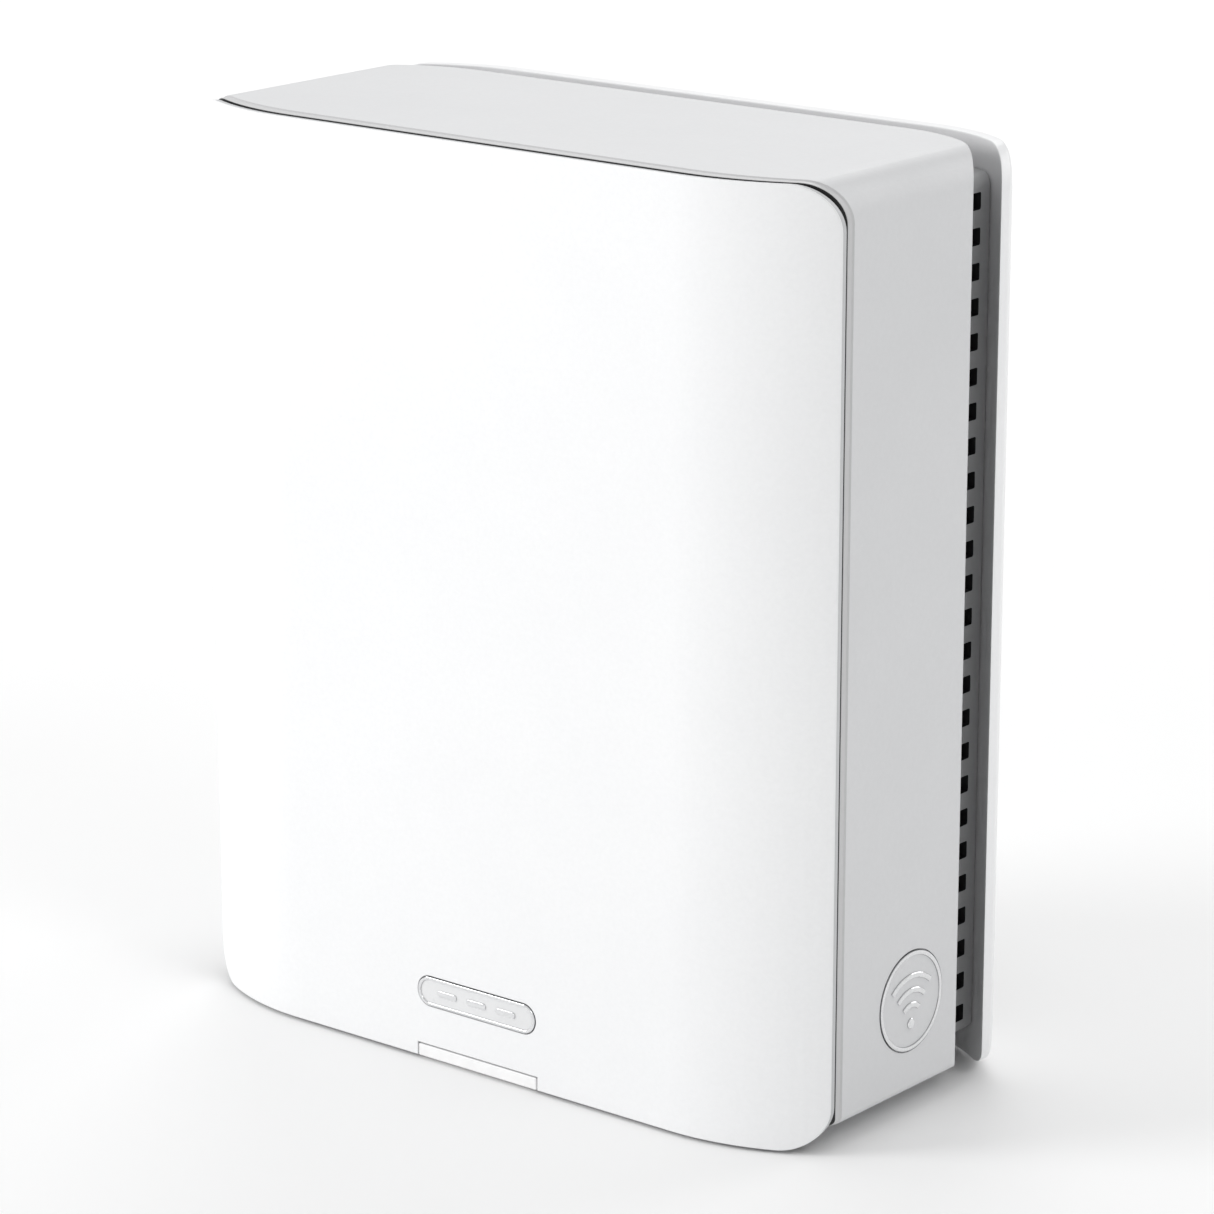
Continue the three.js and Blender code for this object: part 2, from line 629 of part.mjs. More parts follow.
// A round lead through the given points.
function lead(points, radius) {
  const path = new THREE.CatmullRomCurve3(points.map((p) => new THREE.Vector3(...p)));
  const section = new THREE.Shape();
  section.absarc(0, 0, radius, 0, Math.PI * 2);
  const geometry = new THREE.ExtrudeGeometry(section, {
    steps: 10, curveSegments: 4, extrudePath: path, bevelEnabled: false,
  });
  return solid(geometry);
}

function sideLead(side, low) {
  const plane = BODY_HALF_WIDTH - SHELL_WALL - 2 * GAP - 1 - 0.9;
  return lead([
    [side * plane, -11, low + 4], [side * (plane - 3), -4, low + 2],
    [side * (plane - 9), 3, low - 1], [side * (BOARD.halfWidth - 6), BOARD.front - GAP - 0.1, low - 2],
  ], ANTENNA.lead);
}

function topLead(side) {
  const plane = BODY_TOP - SHELL_WALL - 2 * GAP - 1 - 0.9;
  return lead([
    [side * 60, -9, plane], [side * 62, -2, plane - 3],
    [side * 60, 5, plane - 12], [side * 58, BOARD.front - GAP - 0.1, BOARD.high - 4],
  ], ANTENNA.lead);
}

function lightLead() {
  const back = lightBoardFront() + LIGHT_BOARD.thick + 2 * GAP;
  return lead([
    [18, back, 18], [18, back + 3, 17], [24, -24, 13.5], [36, -8, 13], [42, 5, 18],
    [42, BOARD.front - GAP - 0.1, 20],
  ], 0.8);
}

// --- base

function basePlate() {
  const { halfWidth, front, back, plateLow } = BASE;
  const high = BODY_BOTTOM - GAP;
  let plate = alongZ(roundedRect(-halfWidth, halfWidth, front, back, 8), plateLow, high, 5);
  for (let i = 0; i < INTAKE.slots; i += 1) {
    const x = (i - (INTAKE.slots - 1) / 2) * INTAKE.pitch;
    plate = plate.subtract(block(
      x - INTAKE.halfWidth, x + INTAKE.halfWidth, INTAKE.front, INTAKE.back, 0, 10));
  }
  for (const [x, y] of BASE_SCREWS) {
    plate = plate.subtract(roundZ(x, y, BASE_SCREW.well, 0, plateLow + 1.4, 12));
    plate = plate.subtract(roundZ(x, y, BASE_SCREW.hole, 0, 10, 10));
  }
  return plate;
}

function baseScrew(x, y) {
  const { head, shank, headHeight } = BASE_SCREW;
  const low = BASE.plateLow + 0.1;
  const cap = roundZ(x, y, head, low, low + headHeight, 12);
  return cap.add(roundZ(x, y, shank, low + headHeight / 2, BODY_BOTTOM - GAP, 10));
}

function rubberFoot(front) {
  const { halfWidth, footDepth, footHigh, footInset } = BASE;
  const outline = roundedRect(-halfWidth + footInset, halfWidth - footInset, front, front + footDepth, 3);
  return alongZ(outline, 0, footHigh, 4);
}

// ---------------------------------------------------------------- assembly

add('front_panel', frontPanel(), WHITE());
add('light_window', lightWindow(), FROSTED());
add('front_badge', frontBadge(), SILVER());
add('front_frame', frontFrame(), DARK_PLASTIC());
add('light_guide', lightGuide(), FROSTED());
add('light_board', lightBoard(), BOARD_GREEN());
add('light_lead', lightLead(), LEAD_BLACK());

add('body_shell', bodyShell(), LIGHT_GREY());
add('side_badge', sideBadge(), SILVER());

add('vent_frame', ventFrame(), VENT_GREY());
add('back_panel', backPanel(), WHITE());
add('port_bay', portBay(), DARK_PLASTIC());

for (const [name, x] of JACKS) {
  add(name, networkJack(x), DARK_PLASTIC());
}
add('usb_port', usbPort(), STEEL());
add('dc_jack', dcJack(), DARK_PLASTIC());
add('power_switch_housing', switchHousing(), DARK_PLASTIC());
add('power_rocker', powerRocker(), DARK_PLASTIC());
add('pair_button', pushButton(PAIR_BUTTON_X, PAIR_BUTTON, 20), VENT_GREY());
add('pair_switch', tactSwitch(PAIR_BUTTON_X), DARK_PLASTIC());
add('reset_button', pushButton(RESET_X, RESET, 14), DARK_PLASTIC());
add('reset_switch', tactSwitch(RESET_X), DARK_PLASTIC());

add('main_board', mainBoard(), BOARD_GREEN());
BOARD_SCREWS.forEach(([x, z], i) => {
  add(`board_screw_${i + 1}`, boardScrew(x, z), STEEL());
});
add('shield_radio_left', shieldCan(-60, -4, 100, 170, -1), STEEL());
add('shield_radio_right', shieldCan(4, 60, 100, 170, -1), STEEL());
add('shield_processor', shieldCan(-35, 35, 70, 130, 1), STEEL());
add('pad_radio_left', thermalPad(-50, -14, 110, 160, -1), PAD_GREY());
add('pad_radio_right', thermalPad(14, 50, 110, 160, -1), PAD_GREY());
add('pad_processor', thermalPad(-20, 20, 80, 120, 1), PAD_GREY());
add('heatsink_front', heatsink(64, 44, 186, BOARD.front - SINK.clear, -1, -18, 15), ALUMINIUM());
add('heatsink_back', heatsink(58, 58, 184, BOARD.back + SINK.clear, 1, 34, 13), ALUMINIUM());

for (const [sideName, side] of [['left', -1], ['right', 1]]) {
  for (const [levelName, low] of [['low', 58], ['high', 128]]) {
    add(`antenna_${sideName}_${levelName}`, sideAntenna(side, low), STEEL());
    add(`antenna_lead_${sideName}_${levelName}`, sideLead(side, low), LEAD_BLACK());
  }
  add(`antenna_top_${sideName}`, topAntenna(side), STEEL());
  add(`antenna_lead_top_${sideName}`, topLead(side), LEAD_BLACK());
}

add('base_plate', basePlate(), DARK_PLASTIC());
BASE_SCREWS.forEach(([x, y], i) => {
  add(`base_screw_${i + 1}`, baseScrew(x, y), STEEL());
});
add('base_foot_front', rubberFoot(BASE.front + 1), RUBBER());
add('base_foot_back', rubberFoot(BASE.back - BASE.footDepth - 1), RUBBER());

export default router;
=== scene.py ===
"""Looks of an upright wireless router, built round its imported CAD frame. Lengths are in metres."""

import math

import bmesh
import bpy
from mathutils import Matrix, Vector


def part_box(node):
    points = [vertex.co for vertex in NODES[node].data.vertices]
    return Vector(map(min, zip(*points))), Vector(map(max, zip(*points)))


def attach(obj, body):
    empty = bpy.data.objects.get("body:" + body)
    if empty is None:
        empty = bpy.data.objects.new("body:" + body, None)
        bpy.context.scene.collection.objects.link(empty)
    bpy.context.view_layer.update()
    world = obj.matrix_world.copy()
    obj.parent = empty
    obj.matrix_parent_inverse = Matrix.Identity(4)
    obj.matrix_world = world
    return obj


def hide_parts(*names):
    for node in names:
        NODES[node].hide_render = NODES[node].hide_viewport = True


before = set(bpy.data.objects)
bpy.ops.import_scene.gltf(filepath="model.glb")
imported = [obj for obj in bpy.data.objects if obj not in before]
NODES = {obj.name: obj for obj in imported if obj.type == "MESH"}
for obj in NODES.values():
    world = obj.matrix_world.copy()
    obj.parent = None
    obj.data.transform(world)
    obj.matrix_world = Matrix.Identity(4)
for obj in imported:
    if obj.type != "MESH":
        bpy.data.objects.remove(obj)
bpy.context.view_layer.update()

# ---------------------------------------------------------------- dimensions

# The bows of the front face, the shell's back edge and the back panel: flat out to "flat", then an arc.
FRONT_BOW = {"flat": 0.058, "radius": 0.0585}
BACK_BOW = {"flat": 0.064, "radius": 0.036}
PANEL_BOW = {"flat": 0.062, "radius": 0.040}

PANEL_CORNER = 0.0105
SHELL_CORNER = 0.0095
SHELL_FOOT_CORNER = 0.002
SHELL_WALL = 0.0026
LIP_START = 0.0012
LIP_END = 0.0040
PANEL_THICK = 0.0045

NECK_WALL = 0.002
NECK_CORNER = 0.003
VENT_ROWS = 25
VENT_FIRST = 0.014
VENT_PITCH = 0.0081
VENT_HALF = 0.002
VENT_FROM = 0.020
VENT_TO = 0.0305
TOP_VENTS = 15
TOP_VENT_SHIFT = 0.006

GAP = 0.0003
PORT_Z = 0.028
JACKS = ("rj45_wan", "rj45_lan_1", "rj45_lan_2", "rj45_lan_3")

INTAKE_SLOTS = 13
INTAKE_PITCH = 0.0086
INTAKE_HALF = 0.0019

CAMERA_LENS_MM = 139.2
CAMERA_AZIMUTH = math.radians(39.1)
CAMERA_ELEVATION = math.radians(15.83)
CAMERA_DISTANCE = 1.1056
CAMERA_TARGET = Vector((0.0062, -0.0054, 0.1070))
SKY_STRENGTH = 0.66
FLOOR_REACH = 12.0


# ---------------------------------------------------------------- mesh helpers


def setback(x, bow):
    """How far a bowed face has fallen back at x."""
    past = min(max(abs(x) - bow["flat"], 0.0), bow["radius"])
    return bow["radius"] - math.sqrt(bow["radius"] ** 2 - past**2)


def arc(cx, cz, radius, start, end, steps):
    """Points along an arc in a plane, from start to end in degrees."""
    points = []
    for i in range(steps + 1):
        a = math.radians(start + (end - start) * i / steps)
        points.append((cx + radius * math.cos(a), cz + radius * math.sin(a)))
    return points


def outline(x0, x1, z0, z1, upper, lower, inset=0.0, notch=None, steps=14):
    """Points round a rectangle with rounded corners, drawn in by inset.

    notch is the half width and the top of a cut in its foot.
    """
    x0, x1, z0, z1 = x0 + inset, x1 - inset, z0 + inset, z1 - inset
    upper = max(upper - inset, 0.0002)
    lower = max(lower - inset, 0.0002)
    points = arc(x1 - lower, z0 + lower, lower, -90, 0, steps)
    points += arc(x1 - upper, z1 - upper, upper, 0, 90, steps)
    points += arc(x0 + upper, z1 - upper, upper, 90, 180, steps)
    points += arc(x0 + lower, z0 + lower, lower, 180, 270, steps)
    if notch:
        half, top = notch[0] + inset, notch[1] + inset
        points += [(-half, z0), (-half, top), (half, top), (half, z0)]
    return points


def pill(half_width, low, high, inset=0.0, x=0.0, steps=14):
    """Points round a bar with half-round ends."""
    radius = (high - low) / 2 - inset
    corner = radius + inset
    return outline(x - half_width, x + half_width, low, high, corner, corner, inset, None, steps)


def in_y(points, y):
    """A flat outline of x and z, stood up at y."""
    return [(x, y, z) for x, z in points]


def in_x(points, x):
    """A flat outline of y and z, stood up at x."""
    return [(x, y, z) for y, z in points]


def in_z(points, z):
    """A flat outline of x and y, laid at height z."""
    return [(x, y, z) for x, y in points]


def loft(sections, ring=False):
    """A closed body through sections of equally many points, capped at its ends or joined into a ring."""
    bm = bmesh.new()
    loops = [[bm.verts.new(p) for p in section] for section in sections]
    pairs = list(zip(loops, loops[1:]))
    if ring:
        pairs.append((loops[-1], loops[0]))
    for near, far in pairs:
        for i, corner in enumerate(near):
            j = (i + 1) % len(near)
            bm.faces.new((corner, near[j], far[j], far[i]))
    if not ring:
        bm.faces.new(reversed(loops[0]))
        bm.faces.new(loops[-1])
    bmesh.ops.recalc_face_normals(bm, faces=bm.faces)
    return bm


def slice_x(bm, bow, reach):
    """Cuts a body across at every few millimetres of its bowed sides, so that it can bend there."""
    stations = [bow["flat"] + i * 0.0026 for i in range(14)]
    stations = [x for x in stations if x < reach]
    for x in stations + [-x for x in stations]:
        parts = bm.verts[:] + bm.edges[:] + bm.faces[:]
        bmesh.ops.bisect_plane(bm, geom=parts, plane_co=(x, 0, 0), plane_no=(1, 0, 0), dist=1e-7)


def bend(bm, y_front, y_back, front_bow, back_bow):
    """Moves a body's front end back by front_bow and its back end forward by back_bow.

    What lies between moves in step.
    """
    for v in bm.verts:
        share = (v.co.y - y_front) / (y_back - y_front) if y_back > y_front else 0.0
        share = min(max(share, 0.0), 1.0)
        fall = setback(v.co.x, front_bow) if front_bow else 0.0
        rise = setback(v.co.x, back_bow) if back_bow else 0.0
        v.co.y += (1 - share) * fall - share * rise


def bow_whole(bm, bow, way):
    """Bows a whole body back (way 1) or forward (way -1)."""
    for v in bm.verts:
        v.co.y += way * setback(v.co.x, bow)


def made(name, bm):
    """A scene object from a bmesh."""
    mesh = bpy.data.meshes.new(name)
    bm.to_mesh(mesh)
    bm.free()
    obj = bpy.data.objects.new(name, mesh)
    bpy.context.scene.collection.objects.link(obj)
    return obj


def joined(name, bodies):
    """One object from several bmesh bodies."""
    whole = bmesh.new()
    for bm in bodies:
        part = bpy.data.meshes.new("part")
        bm.to_mesh(part)
        bm.free()
        whole.from_mesh(part)
        bpy.data.meshes.remove(part)
    return made(name, whole)


def carve(obj, bodies):
    """Cuts the bodies out of an object."""
    tool = joined("tool", bodies)
    cut = obj.modifiers.new("cut", "BOOLEAN")
    cut.operation = "DIFFERENCE"
    cut.solver = "EXACT"
    cut.object = tool
    graph = bpy.context.evaluated_depsgraph_get()
    mesh = bpy.data.meshes.new_from_object(obj.evaluated_get(graph))
    obj.modifiers.clear()
    old = obj.data
    obj.data = mesh
    bpy.data.meshes.remove(old)
    shape = tool.data
    bpy.data.objects.remove(tool)
    bpy.data.meshes.remove(shape)
    mesh.name = obj.name
    return obj


def smooth(obj, limit=32):
    """Smooth shading with crisp edges where faces meet at more than limit degrees."""
    bm = bmesh.new()
    bm.from_mesh(obj.data)
    for face in bm.faces:
        face.smooth = True
    for edge in bm.edges:
        edge.smooth = len(edge.link_faces) == 2 and edge.calc_face_angle(0.0) < math.radians(limit)
    bm.to_mesh(obj.data)
    bm.free()
    weighted = obj.modifiers.new("normals", "WEIGHTED_NORMAL")
    weighted.keep_sharp = True
    weighted.weight = 90
    return obj


def dress(obj, material, slot_name, body, *replaced):
    """Gives a new piece its material, its body and the CAD nodes that it stands for; slot_name is not used."""
    obj.data.materials.clear()
    obj.data.materials.append(material)
    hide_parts(*replaced)
    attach(obj, body)
    return obj


def paint(obj, material, test):
    """Gives a further material to the faces whose corners all pass the test."""
    obj.data.materials.append(material)
    index = len(obj.data.materials) - 1
    passed = [test(vertex.co) for vertex in obj.data.vertices]
    for face in obj.data.polygons:
        if all(passed[i] for i in face.vertices):
            face.material_index = index


def block(x0, x1, y0, y1, z0, z1, edge=0.0):
    """A block whose edges are rounded off by edge."""
    if edge <= 0:
        square = [(x0, z0), (x1, z0), (x1, z1), (x0, z1)]
        return loft([in_y(square, y0), in_y(square, y1)])
    turn = [(edge * (1 - math.sin(a)), edge * (1 - math.cos(a))) for a in (0.0, 0.39, 0.79, 1.18, 1.571)]
    sections = [in_y(outline(x0, x1, z0, z1, edge, edge, i, None, 4), y0 + d) for i, d in turn]
    sections += [in_y(outline(x0, x1, z0, z1, edge, edge, i, None, 4), y1 - d) for i, d in reversed(turn)]
    return loft(sections)


def turned_y(x, z, profile, steps=40):
    """A round body on an axis along Y, from a profile of (radius, y)."""
    return loft([in_y(arc(x, z, r, 0, 360 - 360 / steps, steps - 1), y) for r, y in profile])


def turned_x(y, z, profile, steps=64):
    """A round body on an axis along X, from a profile of (radius, x)."""
    return loft([in_x(arc(y, z, r, 0, 360 - 360 / steps, steps - 1), x) for r, x in profile])


def turned_z(x, y, profile, steps=32):
    """A round body on an upright axis, from a profile of (radius, z)."""
    return loft([in_z(arc(x, y, r, 0, 360 - 360 / steps, steps - 1), z) for r, z in profile])


def wire(points, radius, sides=8):
    """A round wire through points."""
    points = [Vector(p) for p in points]
    sections = []
    for i, point in enumerate(points):
        ahead = points[min(i + 1, len(points) - 1)] - points[max(i - 1, 0)]
        other = Vector((1, 0, 0)) if abs(ahead.normalized().x) < 0.9 else Vector((0, 0, 1))
        across = ahead.cross(other).normalized()
        over = ahead.cross(across).normalized()
        angles = [2 * math.pi * k / sides for k in range(sides)]
        sections.append([point + across * math.cos(a) * radius + over * math.sin(a) * radius for a in angles])
    return loft(sections)


# ---------------------------------------------------------------- material helpers


class Nodes:
    """A short way to write a material's node tree."""

    def __init__(self, name):
        self.material = bpy.data.materials.new(name)
        self.material.use_nodes = True
        self.tree = self.material.node_tree
        self.shader = self.tree.nodes["Principled BSDF"]
        self.place = self.add("ShaderNodeTexCoord").outputs["Object"]

    def add(self, kind, **values):
        node = self.tree.nodes.new(kind)
        for key, value in values.items():
            setattr(node, key, value)
        return node

    def link(self, source, target):
        self.tree.links.new(source, target)

    def scaled(self, scale):
        """Object coordinates, stretched by scale along each axis."""
        node = self.add("ShaderNodeMapping")
        node.inputs["Scale"].default_value = scale
        self.link(self.place, node.inputs["Vector"])
        return node.outputs["Vector"]

    def noise(self, scale, detail=2.0, roughness=0.5, place=None):
        node = self.add("ShaderNodeTexNoise")
        node.inputs["Scale"].default_value = scale
        node.inputs["Detail"].default_value = detail
        node.inputs["Roughness"].default_value = roughness
        self.link(place or self.place, node.inputs["Vector"])
        return node.outputs["Fac"]

    def cells(self, scale, feature="F1", place=None):
        node = self.add("ShaderNodeTexVoronoi", feature=feature)
        node.inputs["Scale"].default_value = scale
        self.link(place or self.place, node.inputs["Vector"])
        return node.outputs["Distance"]

    def spread(self, source, low, high, from_low=0.3, from_high=0.7):
        """source, rescaled so that its usual range gives low to high."""
        node = self.add("ShaderNodeMapRange")
        node.inputs["From Min"].default_value = from_low
        node.inputs["From Max"].default_value = from_high
        node.inputs["To Min"].default_value = low
        node.inputs["To Max"].default_value = high
        self.link(source, node.inputs["Value"])
        return node.outputs["Result"]

    def mix(self, share, first, second):
        """A colour between first and second, each a colour or a socket."""
        node = self.add("ShaderNodeMix", data_type="RGBA")
        self.link(share, node.inputs["Factor"])
        for value, socket in ((first, node.inputs[6]), (second, node.inputs[7])):
            if isinstance(value, tuple):
                socket.default_value = (*value, 1.0)
            else:
                self.link(value, socket)
        return node.outputs[2]

    def colour(self, source):
        self.link(source, self.shader.inputs["Base Color"])

    def roughness(self, source):
        self.link(source, self.shader.inputs["Roughness"])

    def bump(self, source, depth, before=None, strength=1.0):
        node = self.add("ShaderNodeBump")
        node.inputs["Distance"].default_value = depth
        node.inputs["Strength"].default_value = strength
        self.link(source, node.inputs["Height"])
        if before is not None:
            self.link(before, node.inputs["Normal"])
        return node.outputs["Normal"]

    def normal(self, source):
        self.link(source, self.shader.inputs["Normal"])

    def set(self, **values):
        names = {"metallic": "Metallic", "specular": "Specular IOR Level", "coat": "Coat Weight",
                 "coat_roughness": "Coat Roughness", "subsurface": "Subsurface Weight",
                 "anisotropic": "Anisotropic", "sheen": "Sheen Weight"}
        for key, value in values.items():
            self.shader.inputs[names[key]].default_value = value


def moulded(name, light, dark, roughness, grain=2600.0, depth=0.00002, handling=0.05, coat=0.0):
    """Moulded plastic: faint clouding in its colour, a fine spark-eroded grain and uneven sheen."""
    n = Nodes(name)
    cloud = n.noise(14.0, 4.0, 0.6)
    speck = n.noise(900.0, 2.0, 0.6)
    base = n.mix(n.spread(cloud, 0.0, 1.0), light, dark)
    n.colour(n.mix(n.spread(speck, 0.0, 0.25), base, tuple(0.93 * c for c in dark)))
    smears = n.noise(30.0, 3.0, 0.65, n.scaled((1.0, 1.0, 0.45)))
    n.roughness(n.spread(smears, roughness - handling, roughness + handling))
    fine = n.bump(n.noise(grain, 3.0, 0.6), depth)
    n.normal(n.bump(n.noise(6.0, 1.0, 0.4), 0.00025, fine, 0.12))
    n.set(specular=0.5, coat=coat, coat_roughness=0.25)
    return n.material


def dark_moulded(name, tone, roughness):
    """Dark textured plastic with a leathery grain and faint dust in it."""
    n = Nodes(name)
    pale = tuple(min(1.0, 2.1 * c + 0.012) for c in tone)
    dust = n.noise(220.0, 4.0, 0.7)
    n.colour(n.mix(n.spread(dust, 0.0, 0.35, 0.5, 0.8), tone, pale))
    n.roughness(n.spread(n.noise(60.0, 3.0), roughness - 0.08, roughness + 0.08))
    coarse = n.bump(n.cells(2400.0), 0.00004, None, 0.5)
    n.normal(n.bump(n.noise(4200.0, 2.0), 0.00002, coarse, 0.6))
    return n.material


def bright_metal(name, light, dark, roughness, lines, anisotropic=0.4):
    """Plated or brushed metal, with lines running along X."""
    n = Nodes(name)
    streaks = n.noise(lines, 3.0, 0.6, n.scaled((0.04, 1.0, 1.0)))
    n.colour(n.mix(n.spread(streaks, 0.0, 1.0), light, dark))
    wear = n.noise(lines / 3, 2.0, 0.5, n.scaled((0.05, 1.0, 1.0)))
    n.roughness(n.spread(wear, roughness - 0.05, roughness + 0.07))
    n.normal(n.bump(streaks, 0.000008, None, 0.5))
    n.set(metallic=1.0, anisotropic=anisotropic)
    return n.material


def rubber_material():
    """Dark grey rubber with a dusty, pitted surface."""
    n = Nodes("rubber_grained")
    dust = n.noise(500.0, 4.0, 0.7)
    n.colour(n.mix(n.spread(dust, 0.0, 1.0), (0.035, 0.036, 0.038), (0.075, 0.076, 0.078)))
    n.roughness(n.spread(n.noise(120.0, 2.0), 0.72, 0.92))
    n.normal(n.bump(n.cells(1800.0), 0.00005, None, 0.7))
    return n.material


def window_material():
    """A frosted light window: milky, slightly uneven plastic."""
    n = Nodes("window_frosted")
    n.colour(n.mix(n.spread(n.noise(300.0, 3.0), 0.0, 1.0), (0.93, 0.93, 0.93), (0.89, 0.89, 0.89)))
    n.roughness(n.spread(n.noise(90.0, 2.0), 0.3, 0.42))
    n.normal(n.bump(n.noise(3200.0, 2.0), 0.00001, None, 0.6))
    return n.material


def board_material():
    """Green circuit board: solder mask over a maze of tracks, with small tinned pads."""
    n = Nodes("board_tracks")
    maze = n.cells(260.0, "DISTANCE_TO_EDGE", n.scaled((1.0, 0.2, 1.0)))
    tracks = n.spread(maze, 1.0, 0.0, 0.03, 0.09)
    mask = n.mix(n.spread(n.noise(40.0, 3.0), 0.0, 1.0), (0.006, 0.055, 0.028), (0.010, 0.075, 0.038))
    copper = n.mix(tracks, mask, (0.022, 0.12, 0.055))
    pads = n.spread(n.cells(420.0), 1.0, 0.0, 0.10, 0.16)
    n.colour(n.mix(pads, copper, (0.55, 0.55, 0.52)))
    n.roughness(n.spread(n.noise(150.0, 2.0), 0.28, 0.42))
    n.normal(n.bump(tracks, 0.00003, None, 0.8))
    return n.material


def thermal_material():
    """A soft thermal pad: grey-blue putty with bright grains."""
    n = Nodes("thermal_putty")
    grains = n.noise(1400.0, 3.0, 0.7)
    n.colour(n.mix(n.spread(grains, 0.0, 1.0), (0.24, 0.28, 0.34), (0.36, 0.40, 0.45)))
    n.roughness(n.spread(n.noise(200.0, 2.0), 0.75, 0.9))
    n.normal(n.bump(grains, 0.00004, None, 0.6))
    return n.material


def lead_material():
    """The jacket of a thin coaxial lead, with faint rings along it."""
    n = Nodes("lead_sheath")
    rings = n.noise(700.0, 2.0, 0.5)
    n.colour(n.mix(n.spread(rings, 0.0, 1.0), (0.012, 0.012, 0.013), (0.03, 0.03, 0.032)))
    n.roughness(n.spread(n.noise(150.0, 2.0), 0.4, 0.55))
    n.normal(n.bump(rings, 0.00002, None, 0.5))
    return n.material


def floor_material():
    """Matt white studio paper."""
    n = Nodes("floor_paper")
    n.colour(n.mix(n.spread(n.noise(3.0, 4.0), 0.0, 1.0), (0.955, 0.955, 0.955), (0.94, 0.94, 0.94)))
    n.roughness(n.spread(n.noise(25.0, 3.0), 0.75, 0.9))
    n.normal(n.bump(n.noise(700.0, 3.0), 0.00005, None, 0.25))
    n.set(specular=0.1)
    return n.material


def make_materials():
    return {
        "panel": moulded("panel_white_satin", (0.90, 0.905, 0.91), (0.875, 0.88, 0.888), 0.34, coat=0.15),
        # painted shade: the front panel's rim gets a grey colour for the shade on its undercut edge
        "rim": moulded("panel_rim_painted_shade", (0.56, 0.565, 0.575), (0.53, 0.535, 0.545), 0.4),
        # painted shade: a greyer copy of the panel white for the back panel's inner face, which lies in shade
        # behind the body
        "inner": moulded("panel_inner_painted_shade", (0.84, 0.84, 0.85), (0.81, 0.81, 0.82), 0.5),
        "shell": moulded("shell_silver_grey", (0.70, 0.705, 0.715), (0.675, 0.68, 0.69), 0.42,
                         depth=0.000025),
        # painted shade: a darker copy of the shell grey for the lip under the front panel's overhang
        "lip": moulded("shell_lip_painted_shade", (0.60, 0.60, 0.605), (0.575, 0.575, 0.58), 0.38),
        # painted shadow: black put on faces deep in gaps and inside the neck, where there is only shade
        "shadow": dark_moulded("painted_shadow_black", (0.012, 0.012, 0.013), 0.6),
        "vent": moulded("vent_mid_grey", (0.44, 0.445, 0.45), (0.41, 0.415, 0.42), 0.45, depth=0.00003),
        "dark": dark_moulded("dark_textured", (0.016, 0.016, 0.018), 0.52),
        "jack": dark_moulded("jack_black", (0.010, 0.010, 0.011), 0.42),
        "chrome": bright_metal("trim_bright_chrome", (0.86, 0.865, 0.87), (0.74, 0.745, 0.755), 0.12, 2600.0),
        # painted shade: a darker copy of the chrome, put on the badges' side walls to outline the raised
        # strokes
        "trim": bright_metal("chrome_painted_shade", (0.42, 0.425, 0.435), (0.34, 0.345, 0.355), 0.2, 2600.0),
        "field": moulded("badge_field_satin", (0.80, 0.805, 0.81), (0.76, 0.765, 0.77), 0.3),
        "aluminium": bright_metal("aluminium_extruded", (0.72, 0.735, 0.75), (0.58, 0.595, 0.61), 0.36,
                                  1500.0, 0.6),
        "steel": bright_metal("steel_plated", (0.68, 0.68, 0.68), (0.54, 0.54, 0.545), 0.28, 1200.0),
        "gold": bright_metal("contact_gold", (0.83, 0.62, 0.28), (0.72, 0.50, 0.20), 0.22, 3000.0),
        "rubber": rubber_material(),
        "window": window_material(),
        "board": board_material(),
        "thermal": thermal_material(),
        "lead": lead_material(),
    }


# ---------------------------------------------------------------- front


def panel_sections(lo, hi, corner, front, back, notch, back_inset, front_round, back_round):
    """Sections of a plate from its back face to its front face, with rounded rims."""
    steps = (0.0, 0.31, 0.63, 0.94, 1.26, 1.571)
    rim = [(back_inset + back_round * (1 - math.cos(a)), back - back_round * (1 - math.sin(a)))
           for a in reversed(steps)]
    rim += [(front_round * (1 - math.cos(a)), front + front_round * (1 - math.sin(a))) for a in steps]
    return [in_y(outline(lo.x, hi.x, lo.z, hi.z, corner, corner, inset, notch), y) for inset, y in rim]


def front_panel(mats):
    lo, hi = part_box("front_panel")
    window_lo, window_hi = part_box("light_window")
    back = window_hi.y
    notch = (window_hi.x + GAP, window_hi.z + GAP)
    bm = loft(panel_sections(lo, hi, PANEL_CORNER, lo.y, back, notch, 0.00015, 0.0003, 0.0002))
    slice_x(bm, FRONT_BOW, hi.x)
    bow_whole(bm, FRONT_BOW, 1)
    panel = made("front_panel_skin", bm)
    badge_lo, badge_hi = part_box("front_badge")
    pocket = [in_y(pill(badge_hi.x + GAP, badge_lo.z - GAP, badge_hi.z + GAP), y)
              for y in (lo.y - 0.001, badge_hi.y + GAP)]
    carve(panel, [loft(pocket)])
    smooth(panel)
    dress(panel, mats["panel"], "white_panel", "root", "front_panel")
    # painted shade: the rim faces behind the front edge are greyed for the shade on the undercut rim
    paint(panel, mats["rim"], lambda v: v.y - setback(v.x, FRONT_BOW) > lo.y + 0.00025)
    # painted shadow: the front panel's back face is black, so the gap behind it reads dark
    paint(panel, mats["shadow"], lambda v: v.y - setback(v.x, FRONT_BOW) > back - 0.00012)
    return panel


def window_lens(mats):
    lo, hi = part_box("light_window")
    lens = made("window_lens", block(lo.x, hi.x, lo.y, hi.y, lo.z, hi.z, 0.0003))
    smooth(lens)
    return dress(lens, mats["window"], "frosted_white", "root", "light_window")


